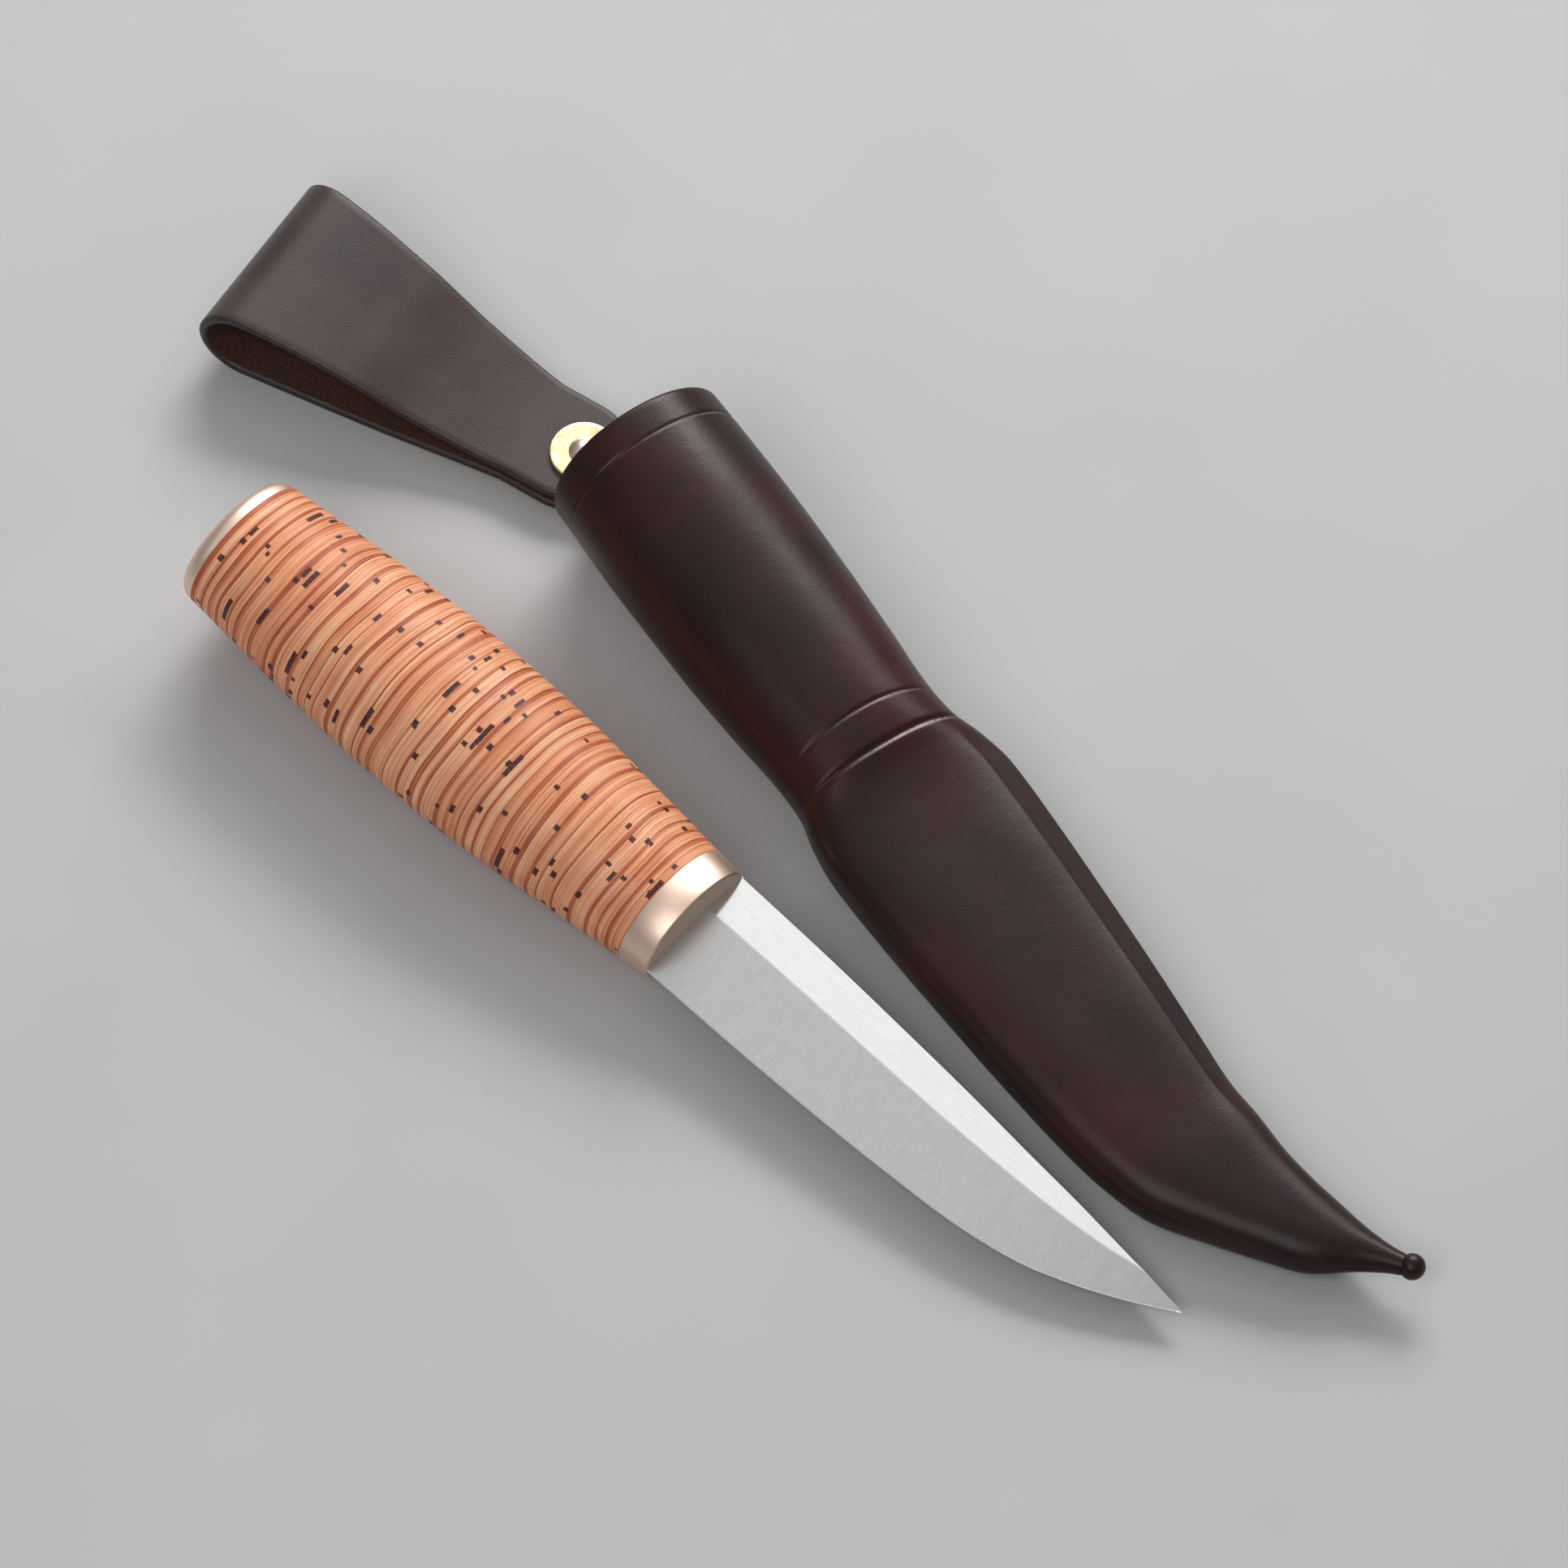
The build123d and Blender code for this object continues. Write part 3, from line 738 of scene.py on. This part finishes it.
def crease_depth(distance, across, upward):
    """How deep the pressed lines are, across the front; they fade towards the back."""
    front = smoothstep(-0.75, -0.1, upward)
    depth = 0.0
    for at, deep, half_width, bow, reach in CREASES:
        bend = bow * (1 - across * across)
        ends = 1 - smoothstep(reach - 0.25, reach, abs(across))
        depth += deep * front * ends * bell(distance - at + bend, half_width)
    return depth


def shoulder_height(distance, x, height, half_width, half_height, squareness):
    """Height on the far shoulder: beyond its ridge a plane falls away to the sheath's side."""
    along = smoothstep(77, 85, distance) * (1 - smoothstep(148, 174, distance))
    ridge = half_height * (1 - RIDGE_AT ** squareness) ** (1 / squareness)
    plane = ridge + RIDGE_SOFT - RIDGE_FALL * (x - RIDGE_AT * half_width)
    if height < plane:
        return height
    cut = height - plane
    return height - along * cut * cut / (cut + RIDGE_SOFT)


def lip_painted_highlight(distance, across, upward):
    """Strength of the painted highlight along the tail-side lip of each crease."""
    if upward < 0:
        return 0.0
    light = 0.0
    for at, deep, half_width, bow, reach in CREASES:
        bend = bow * (1 - across * across)
        ends = smoothstep(-0.75, 0.45, across) * (1 - smoothstep(reach - 0.35, reach - 0.1, across))
        light += 2.5 * deep * ends * bell(distance - at + bend - 0.9 * half_width, 0.45 * half_width)
    return clamp(light)


def sheath_ring(distance, inset, count, plain=False):
    """Ring of the sheath's skin; plain leaves the creases and the back's seam out."""
    shift, rise, turn, half_width, half_height, squareness = sheath_row(distance)
    centre = Vector((MOUTH_X + distance, MOUTH_Y + shift, MOUTH_Z - SHEATH_SLOPE * distance + rise))
    side = Vector((-sin(radians(turn)), cos(radians(turn)), 0))
    power = 2 / squareness
    notch = min(SEAM_HALF_WIDTH, half_width / 4)
    ring = []
    for angle in circle(count):
        across, upward = cos(angle), sin(angle)
        x_share, z_share = squared(across, power), squared(upward, power)
        x = (half_width - inset) * x_share
        z = (half_height - inset) * z_share
        if not plain:
            depth = crease_depth(distance, x_share, z_share)
            soft = 0.08 * noise.noise(Vector((distance / 16, x / 10, z / 10)))
            if upward > 0 and across > 0:
                z = shoulder_height(distance, x, z, half_width, half_height, squareness)
            pull = min((depth - soft * smoothstep(0, 10, distance)) / half_height, 0.3)
            x *= 1 - pull * half_height / half_width
            z *= 1 - pull
            if upward < 0:
                z += SEAM_DEPTH * notch / SEAM_HALF_WIDTH * clamp(1 - abs(x) / notch)
        ring.append(centre + side * x + Vector((0, 0, z)))
    return ring


def build_sheath(material, inner):
    """Moulded leather body, open at the mouth, with the knob at the end of its tail."""
    count = 192
    lip_length = 0.9
    outer_at, distance = [], lip_length
    while distance < TAIL_LENGTH:
        outer_at.append(distance)
        near_crease = any(abs(distance - crease[0]) < 2.6 for crease in CREASES)
        distance += 0.16 if near_crease else 0.8
    outer_at.append(TAIL_LENGTH)
    inner_at = [CAVITY_LENGTH * step / 70 for step in range(70, -1, -1)]
    inner_at[-1] = lip_length
    rings = [sheath_ring(at, LEATHER, count, plain=True) for at in inner_at]
    lip = LEATHER / 2
    inner_rings = len(rings)
    for step in range(1, 8):
        angle = pi * step / 8
        at = lip_length * (1 - sin(angle))
        rings.append(sheath_ring(at, lip + lip * cos(angle), count, plain=True))
    # Painted highlight strength for each point: zero on the inner skin and the mouth's rim, then set along
    # the creases' lips.
    lip_highlights = [0.0] * (len(rings) * count)
    rings += [sheath_ring(at, 0.0, count) for at in outer_at]
    for at in outer_at:
        power = 2 / sheath_row(at)[5]
        for angle in circle(count):
            lip_highlights.append(lip_painted_highlight(at, squared(cos(angle), power), sin(angle)))

    neck_row = sheath_row(TAIL_LENGTH)
    neck = Vector((TAIL_LENGTH, neck_row[0], neck_row[1] - SHEATH_SLOPE * TAIL_LENGTH))
    ball = Vector((BALL_AT[0], BALL_AT[1], BALL_AT[2] - SHEATH_SLOPE * BALL_AT[0]))
    tail = (ball - neck).normalized()
    side = Vector((0, 0, 1)).cross(tail).normalized()
    lift = tail.cross(side)
    ball_centre = ball + Vector((MOUTH_X, MOUTH_Y, MOUTH_Z))
    for step in range(15):
        angle = pi * (0.24 + 0.755 * step / 14)
        along, radius = -BALL_RADIUS * cos(angle), BALL_RADIUS * sin(angle)
        ring = []
        for around in circle(count):
            sideways = side * radius * cos(around)
            ring.append(ball_centre + tail * along + sideways + lift * radius * sin(around))
        rings.append(ring)
    shape = join(ring_tube(rings), tab_shape())
    obj = piece("sheath_body", shape, "sheath", ["sheath_leather"], [material, inner])
    for polygon in obj.data.polygons:
        if min(polygon.vertices) < (inner_rings - 1) * count:
            polygon.material_index = 1
    lip_highlights += [0.0] * (len(obj.data.vertices) - len(lip_highlights))
    attribute(obj, "lip", lip_highlights)
    sharpen(obj, 60)


def tab_shape():
    """Tongue of the back's leather, clasped between the belt loop's two ends."""
    middle_y = RIVET_Y + TAB_SHIFT
    soft = 0.3
    stations = []
    for step in range(9):
        angle = pi / 2 * step / 8
        at = RIVET_X - TAB_REACH + TAB_CORNER * (1 - cos(angle))
        half = TAB_HALF_WIDTH - TAB_CORNER + TAB_CORNER * sin(angle)
        stations.append((at, half, TAB_Z, TAB_Z + LEATHER))
    stations.append((MOUTH_X - 3.0, TAB_HALF_WIDTH, TAB_Z, TAB_Z + LEATHER))
    stations.append((MOUTH_X - 1.0, TAB_HALF_WIDTH, TAB_Z - 0.2, TAB_Z + LEATHER - 0.2))
    stations.append((MOUTH_X + 5.0, TAB_HALF_WIDTH, 1.3, 2.5))
    rings = []
    for at, half, low, high in stations:
        right = [(half - soft, high), (half, high - soft), (half, low + soft), (half - soft, low)]
        left = [(-across, z) for across, z in reversed(right)]
        corners = left[1:] + right + left[:1]
        rings.append([Vector((at, middle_y + across, z)) for across, z in corners])
    return ring_tube(rings)


def leather_grain(shade, place, size):
    """Height of fine pebbled grain with pores, for a grain size in millimetres."""
    cells = shade.add("TexVoronoi", feature="SMOOTH_F1")
    shade.feed(cells.inputs["Vector"], shade.scaled(place, (1 / size,) * 3))
    cells.inputs["Scale"].default_value = 1.0
    pebbles = shade.minus(1.0, cells.outputs["Distance"])
    wrinkle = shade.noise(place, 1.1 / size, 4.0, 0.6)
    return shade.plus(shade.times(pebbles, 0.55), shade.times(wrinkle, 0.45))


def sheath_material():
    """Dark brown moulded leather, waxed to a soft shine, with reddish patches, light scuffs and a painted
    highlight along the creases' lips.
    """
    shade = Shade("moulded_leather")
    place = shade.place()
    grain = leather_grain(shade, place, 0.42)
    cloud = shade.noise(place, 0.035, 4.0, 0.6)
    color = shade.ramp(cloud, [(0.3, srgb(32, 17, 17)), (0.5, srgb(44, 22, 21)), (0.68, srgb(58, 23, 22))])
    speck = shade.noise(place, 2.6, 3.0, 0.7)
    color = shade.mix(shade.span(speck, 0.3, 0.75, 0.0, 0.35), color, srgb(27, 17, 18))
    scuff = shade.noise(shade.scaled(place, (0.6, 1.6, 1.0)), 0.55, 5.0, 0.75)
    scuffs = shade.span(scuff, 0.765, 0.8)
    color = shade.mix(shade.times(scuffs, 0.4), color, srgb(112, 88, 84))
    # Painted highlight: a pale colour laid along the tail-side lip of each crease, broken up by noise.
    highlight_breakup = shade.span(shade.noise(place, 1.3, 3.0), 0.3, 0.6, 0.35, 1.0)
    lip = shade.times(shade.value("lip"), highlight_breakup)
    color = shade.mix(lip, color, srgb(176, 160, 157))
    wear = shade.noise(place, 0.09, 3.0, 0.55)
    roughness = shade.plus(shade.span(wear, 0.3, 0.7, 0.33, 0.4), shade.times(scuffs, 0.2))
    creased = shade.noise(shade.scaled(place, (0.9, 0.35, 0.35)), 1.0, 4.0, 0.65)
    broad = shade.bump(shade.noise(place, 0.22, 3.0), 0.05)
    fine = shade.bump(creased, 0.02, normal=broad)
    shade.set(
        Base_Color=color,
        Roughness=roughness,
        Normal=shade.bump(grain, 0.022, normal=fine),
        Specular_IOR_Level=0.23,
    )
    return shade.material


def flesh_material(name):
    """The leather's rough inner side: reddish brown nap with paler fibres."""
    shade = Shade(name)
    place = shade.place()
    nap = shade.noise(place, 2.2, 5.0, 0.75)
    fibres = shade.noise(shade.scaled(place, (3.0, 3.0, 9.0)), 1.4, 3.0, 0.7)
    color = shade.ramp(nap, [(0.3, srgb(42, 25, 20)), (0.5, srgb(70, 43, 33)), (0.72, srgb(104, 70, 55))])
    color = shade.mix(shade.span(fibres, 0.6, 0.78, 0.0, 0.5), color, srgb(112, 80, 64))
    shade.set(
        Base_Color=color,
        Roughness=0.92,
        Normal=shade.bump(shade.plus(nap, shade.times(fibres, 0.6)), 0.22),
        Specular_IOR_Level=0.2,
        Sheen_Weight=0.06,
        Sheen_Roughness=0.5,
    )
    return shade.material


def build_stitches(material):
    """Waxed thread: short plump stitches down the channel of the back's seam."""
    parts = []
    sides, count = 12, 13
    for number in range(STITCHES):
        begin = STITCH_START + number * STITCH_PITCH
        rings = []
        for step in range(count):
            share = step / (count - 1)
            distance = begin + STITCH_LENGTH * share
            shift, rise, _, _, half_height, _ = sheath_row(distance)
            arch = 0.12 * sin(pi * share)
            y = MOUTH_Y + shift + 0.25 * (share - 0.5)
            z = MOUTH_Z - SHEATH_SLOPE * distance + rise - half_height + THREAD_DEPTH + 0.1 - arch
            centre = Vector((MOUTH_X + distance, y, z))
            twist = 0.03 * sin(14 * pi * share)
            radius = (THREAD_RADIUS + twist) * sqrt(clamp(1 - (2 * share - 1) ** 6, 0.02))
            turns = [Vector((0, radius * cos(angle), radius * sin(angle))) for angle in circle(sides)]
            rings.append([centre + turn for turn in turns])
        parts.append(ring_tube(rings))
    piece("seam_stitches", join(*parts), "sheath", ["seam_thread"], [material])


def thread_material():
    """Dark waxed thread with the twist of its plies."""
    shade = Shade("waxed_thread")
    place = shade.place()
    twist = shade.noise(shade.scaled(place, (6.0, 2.0, 2.0)), 1.0, 2.0)
    color = shade.mix(twist, srgb(34, 22, 20), srgb(78, 56, 46))
    shade.set(Base_Color=color, Roughness=0.62, Normal=shade.bump(twist, 0.04))
    return shade.material


def liner_material():
    """Thin carved birch: straight grain along the sheath."""
    shade = Shade("liner_birch")
    grain = shade.noise(shade.scaled(shade.place(), (0.06, 2.2, 2.2)), 1.0, 4.0, 0.6)
    color = shade.ramp(grain, [(0.3, srgb(176, 138, 98)), (0.7, srgb(214, 182, 140))])
    shade.set(Base_Color=color, Roughness=0.7, Normal=shade.bump(grain, 0.05))
    return shade.material


# ==== belt loop ====

LOOP_ORIGIN = Vector((RIVET_X, RIVET_Y, 0))
LOOP_ALONG = Vector((cos(LOOP_TURN), sin(LOOP_TURN), 0))
LOOP_ACROSS = Vector((-sin(LOOP_TURN), cos(LOOP_TURN), 0))


def loop_point(distance, across, height):
    """Point of the strap: distance from the rivet, offset across it and height."""
    return LOOP_ORIGIN + LOOP_ALONG * distance + LOOP_ACROSS * across + Vector((0, 0, height))


def curve_points(knots, start_slope, end_slope, count):
    """Cubic through (x, z) knots with given end slopes dz/dx, sampled evenly in x."""
    slopes = [start_slope]
    for index in range(1, len(knots) - 1):
        before, after = knots[index - 1], knots[index + 1]
        slopes.append((after[1] - before[1]) / (after[0] - before[0]))
    slopes.append(end_slope)
    points = []
    for step in range(count + 1):
        x = knots[0][0] + (knots[-1][0] - knots[0][0]) * step / count
        index = 0
        rising = knots[-1][0] > knots[0][0]
        while index < len(knots) - 2 and (x > knots[index + 1][0]) == rising:
            index += 1
        (x0, z0), (x1, z1) = knots[index], knots[index + 1]
        span = x1 - x0
        t = (x - x0) / span
        z = (1 + 2 * t) * (1 - t) ** 2 * z0 + t * (1 - t) ** 2 * span * slopes[index]
        z += t * t * (3 - 2 * t) * z1 + t * t * (t - 1) * span * slopes[index + 1]
        points.append((x, z))
    return points


def strap_line():
    """Middle line of the strap, seen from the side: front, fold and back."""
    front_middle = FRONT_Z + STRAP / 2
    back_middle = STRAP_BACK_Z + STRAP / 2
    fold_radius = (LOOP_TOP_Z - STRAP / 2) / 2
    fold_x = LOOP_LENGTH - STRAP / 2 - fold_radius
    round_end = [END_CENTRE - NARROW_HALF * cos(pi / 2 * step / 12) for step in range(12)]
    line = [(x, front_middle) for x in round_end]
    line += [(END_CENTRE + (FLAT_LENGTH - END_CENTRE) * step / 8, front_middle) for step in range(8)]
    knots = [
        (FLAT_LENGTH, front_middle),
        (FLAT_LENGTH + 17, front_middle + 3.1),
        (fold_x - 20, LOOP_TOP_Z - 3.1),
        (fold_x, LOOP_TOP_Z),
    ]
    line += curve_points(knots, 0.06, 0.0, 56)
    for step in range(1, 30):
        angle = pi / 2 - pi * step / 30
        line.append((fold_x + fold_radius * cos(angle), LOOP_TOP_Z - fold_radius + fold_radius * sin(angle)))
    knots = [(fold_x, STRAP / 2), (fold_x - 26, STRAP / 2), (FLAT_LENGTH, back_middle)]
    line += curve_points(knots, 0.0, 0.0, 56)
    line += [(FLAT_LENGTH - (FLAT_LENGTH - END_CENTRE) * step / 8, back_middle) for step in range(1, 9)]
    line += [(x, back_middle) for x in reversed(round_end)]
    return line


def strap_half_width(distance):
    """Half the strap's width: a round end, a narrow stretch, then wider towards the fold."""
    if distance < END_CENTRE:
        return sqrt(max(NARROW_HALF ** 2 - (distance - END_CENTRE) ** 2, 0.3))
    if distance < FLAT_LENGTH:
        return NARROW_HALF
    share = (distance - FLAT_LENGTH) / (LOOP_LENGTH + 1 - FLAT_LENGTH)
    return NARROW_HALF + (WIDE_HALF - NARROW_HALF) * share


def build_loop(outside, flesh, burnished):
    """Strap folded in two, with rounded burnished edges and its rough side inwards."""
    line = strap_line()
    across_steps = 26
    round_steps = 6
    soft = STRAP / 2
    rings, rims = [], []
    for index, (x, z) in enumerate(line):
        before, after = line[max(index - 1, 0)], line[min(index + 1, len(line) - 1)]
        run = Vector((after[0] - before[0], after[1] - before[1]))
        run.normalize()
        out = Vector((-run.y, run.x))
        half = strap_half_width(x)
        flat = max(half - soft * 0.8, 0.05)
        profile = []
        for side in (1, -1):
            for step in range(across_steps + 1):
                across = side * flat * (2 * step / across_steps - 1)
                profile.append((across, side * soft, half - abs(across)))
            for step in range(1, round_steps):
                angle = side * pi / 2 - pi * step / round_steps
                profile.append((side * flat + (half - flat) * cos(angle), soft * sin(angle), 0.0))
        ring = []
        for across, depth, rim in profile:
            nap = 0.0
            if depth < 0:
                nap = 0.05 * noise.noise(Vector((index * 0.9, across * 1.3, 2.0)))
            at = Vector((x, z)) + out * (depth + nap)
            ring.append(loop_point(at.x, across, at.y))
            rims.append(rim)
        rings.append(ring)
    materials = [outside, flesh, burnished]
    obj = piece("belt_strap", ring_tube(rings), "loop", ["belt_loop"], materials)
    columns = len(rings[0])
    inner_start = across_steps + round_steps
    for polygon in obj.data.polygons:
        around = [vertex % columns for vertex in polygon.vertices]
        column = min(around)
        on_face = max(around) - column <= 1 and len(around) <= 4
        if on_face and column < across_steps:
            polygon.material_index = 0
        elif on_face and inner_start <= column < inner_start + across_steps:
            polygon.material_index = 1
        else:
            polygon.material_index = 2
    attribute(obj, "rim", rims)


def strap_material():
    """Smooth side of the strap: brown with a grey sheen, darker where the edge is burnished."""
    shade = Shade("strap_leather")
    place = shade.place()
    grain = leather_grain(shade, place, 0.42)
    cloud = shade.noise(place, 0.05, 4.0, 0.6)
    color = shade.ramp(cloud, [(0.3, srgb(50, 38, 39)), (0.5, srgb(62, 48, 48)), (0.7, srgb(70, 54, 54))])
    speck = shade.noise(place, 3.4, 3.0, 0.7)
    color = shade.mix(shade.span(speck, 0.35, 0.75, 0.0, 0.3), color, srgb(40, 29, 30))
    rim = shade.plus(shade.value("rim"), shade.times(shade.noise(place, 1.2, 2.0), 0.5))
    color = shade.mix(shade.span(rim, 0.3, 1.1, 0.6, 0.0), color, srgb(30, 22, 22))
    shade.set(
        Base_Color=color,
        Roughness=shade.span(cloud, 0.3, 0.7, 0.42, 0.52),
        Normal=shade.bump(grain, 0.035),
        Specular_IOR_Level=0.36,
        Sheen_Weight=0.08,
        Sheen_Roughness=0.4,
    )
    return shade.material


def burnished_material():
    """Slicked black edge of the strap, with faint layers along it."""
    shade = Shade("burnished_edge")
    place = shade.place()
    layers = shade.noise(shade.scaled(place, (0.4, 0.4, 5.0)), 1.0, 3.0, 0.6)
    color = shade.mix(shade.span(layers, 0.35, 0.7), srgb(28, 20, 20), srgb(58, 42, 40))
    roughness = shade.span(layers, 0.3, 0.7, 0.36, 0.55)
    shade.set(Base_Color=color, Roughness=roughness, Normal=shade.bump(layers, 0.06))
    return shade.material


# ==== washer and rivet ====


def turned(profile, count=96):
    """Rings of points about the rivet's axis, one for each (radius, z) of an outline."""
    rings = []
    for radius, z in profile:
        ring = []
        for angle in circle(count):
            ring.append(Vector((RIVET_X + radius * cos(angle), RIVET_Y + radius * sin(angle), z)))
        rings.append(ring)
    return rings


def rounded(corner_x, corner_z, radius, start, end, steps=5):
    """Arc of outline points round a corner's centre, between two angles in degrees."""
    points = []
    for step in range(steps + 1):
        angle = radians(start + (end - start) * step / steps)
        points.append((corner_x + radius * cos(angle), corner_z + radius * sin(angle)))
    return points


def build_washer(material):
    """Flat washer with a rounded rim, slightly dished towards the rivet."""
    low = FRONT_Z + STRAP + COLLAR_PLAY
    high = low + WASHER_THICKNESS
    soft = 0.22
    bore = RIVET_RADIUS + 0.03
    profile = [(bore, low), (WASHER_RADIUS - 0.05, low)]
    profile += rounded(WASHER_RADIUS - soft, high - soft, soft, 0, 90)
    profile += [(WASHER_RADIUS - 0.9, high - 0.02), (3.4, high - 0.06)]
    profile += rounded(bore + 0.15, high - 0.2, 0.15, 90, 180, 3)
    shape = closed_loft(turned(profile))
    obj = piece("brass_washer", shape, "sheath", ["front_washer"], [material])
    sharpen(obj, 50)


def build_rivet(material):
    """Rivet with a domed head, its shank and the flat tail under the loop."""
    tail_z = STRAP_BACK_Z - COLLAR_PLAY - TAIL_HEIGHT
    head_z = FRONT_Z + STRAP + COLLAR_PLAY + WASHER_THICKNESS
    dome = (HEAD_RADIUS ** 2 + HEAD_HEIGHT ** 2) / (2 * HEAD_HEIGHT)
    profile = [(0.02, tail_z + 0.08), (TAIL_RADIUS * 0.5, tail_z + 0.03), (TAIL_RADIUS - 0.2, tail_z + 0.02)]
    profile += rounded(TAIL_RADIUS - 0.2, tail_z + 0.22, 0.2, -70, 0, 4)
    profile += [(TAIL_RADIUS, tail_z + TAIL_HEIGHT), (RIVET_RADIUS, tail_z + TAIL_HEIGHT)]
    profile.append((RIVET_RADIUS, head_z))
    profile += [(HEAD_RADIUS - 0.12, head_z), (HEAD_RADIUS, head_z + 0.12)]
    top = atan2(HEAD_RADIUS, dome - HEAD_HEIGHT)
    for step in range(1, 17):
        angle = top * (1 - step / 16) + 0.006
        profile.append((dome * sin(angle) * 0.995, head_z + HEAD_HEIGHT - dome + dome * cos(angle)))
    obj = piece("rivet_domed", ring_tube(turned(profile, 72)), "sheath", ["rivet"], [material])
    sharpen(obj, 50)


def small_metal(name, low, high, roughness):
    """Polished metal with turning marks and a faint warm tarnish."""
    shade = Shade(name)
    centre = (RIVET_X, RIVET_Y, 0.0)
    offset = shade.add("VectorMath", shade.place(), centre, operation="SUBTRACT").outputs[0]
    flat = shade.scaled(offset, (1.0, 1.0, 0.0))
    radius = shade.add("VectorMath", flat, operation="LENGTH").outputs["Value"]
    rings = shade.noise(shade.pack(shade.times(radius, 5.0), 0.0), 1.0, 2.0)
    tarnish = shade.noise(shade.place(), 0.45, 3.0, 0.55)
    color = shade.mix(shade.span(tarnish, 0.35, 0.7), low, high)
    hammered = shade.noise(shade.place(), 0.5, 1.0, 0.4)
    relief = shade.plus(shade.times(rings, 0.05), hammered)
    shade.set(
        Base_Color=color,
        Metallic=1.0,
        Roughness=shade.span(tarnish, 0.3, 0.7, roughness, roughness + 0.1),
        Normal=shade.bump(relief, 0.05),
    )
    return shade.material


# ==== floor, lights and camera ====


def light(name, size_x, size_y, place, power, color=(1.0, 1.0, 1.0)):
    """Rectangular lamp that faces the middle of the set, in metres and watts."""
    data = bpy.data.lights.new(name, "AREA")
    data.shape = "RECTANGLE"
    data.size, data.size_y = size_x, size_y
    data.energy = power
    data.color = color
    obj = add_object(name, data)
    obj.location = place
    obj.rotation_euler = (-Vector(place)).to_track_quat("-Z", "Y").to_euler()


def build_stage():
    """Plain pale floor, a faint even sky and soft lamps."""
    mesh = bpy.data.meshes.new("floor")
    half = 3.0
    corners = [(-half, -half, 0), (half, -half, 0), (half, half, 0), (-half, half, 0)]
    mesh.from_pydata(corners, [], [(0, 1, 2, 3)])
    floor = add_object("floor", mesh)
    shade = Shade("pale_floor")
    tint = shade.noise(shade.place(), 0.02, 2.0)
    shade.set(Base_Color=shade.mix(tint, srgb(176, 176, 177), srgb(184, 184, 185)), Roughness=0.9)
    mesh.materials.append(shade.material)

    world = bpy.data.worlds.new("studio")
    bpy.context.scene.world = world
    world.use_nodes = True
    sky = world.node_tree.nodes["Background"]
    sky.inputs["Color"].default_value = (0.97, 0.99, 1.0, 1.0)
    sky.inputs["Strength"].default_value = 0.25

    light("key_softbox", 0.9, 0.6, (-0.90, 0.84, 0.86), 17.0, (1.0, 0.985, 0.965))
    light("shoulder_strip", 0.9, 0.25, (-0.46, 0.98, 0.88), 4.5, (1.0, 0.985, 0.97))
    light("overhead", 1.2, 1.2, (-0.48, 0.34, 1.5), 2.6)
    light("spine_card", 0.6, 0.5, (-0.56, 0.71, 1.32), 0.3)
    light("front_fill", 0.9, 0.9, (0.4, -0.8, 1.35), 9.0)


def build_camera():
    """Long lens, looking down at the set from its tail's side."""
    azimuth, elevation, roll = radians(56.0), radians(59.6), radians(-0.17)
    distance = 2.0
    target = Vector((MOUTH_X + 61.84, MOUTH_Y - 10.9, 0)) * MM
    back = Vector((sin(azimuth) * cos(elevation), -cos(azimuth) * cos(elevation), sin(elevation)))
    data = bpy.data.cameras.new("camera")
    data.sensor_width = 36.0
    data.lens = 266.5
    data.clip_end = 20.0
    camera = add_object("camera", data)
    camera.location = target + back * distance
    camera.rotation_euler = (-back).to_track_quat("-Z", "Y").to_euler()
    camera.rotation_euler.rotate_axis("Z", roll)
    bpy.context.scene.camera = camera


# ==== scene ====

build_stage()
build_camera()

bronze = bronze_material()
build_bark(bark_material())
build_pommel(bronze)
build_bolster(bronze)
build_blade(
    steel_material("steel_bevel", 9.0, srgb(190, 189, 189), srgb(212, 211, 210), 0.3, 0.003, False),
    steel_material("steel_flat", 7.0, srgb(212, 212, 212), srgb(226, 226, 225), 0.13, 0.0008, True),
)
build_sheath(sheath_material(), flesh_material("sheath_inside"))
build_stitches(thread_material())
liner = liner_material()
for half_name in ("liner_front", "liner_back"):
    frame["nodes"][half_name].data.materials.clear()
    frame["nodes"][half_name].data.materials.append(liner)
build_loop(strap_material(), flesh_material("flesh_side"), burnished_material())
build_washer(small_metal("pale_brass", srgb(214, 194, 150), srgb(238, 222, 186), 0.26))
build_rivet(small_metal("rivet_metal", srgb(226, 210, 200), srgb(244, 232, 224), 0.34))

bpy.context.scene.view_settings.view_transform = "Standard"
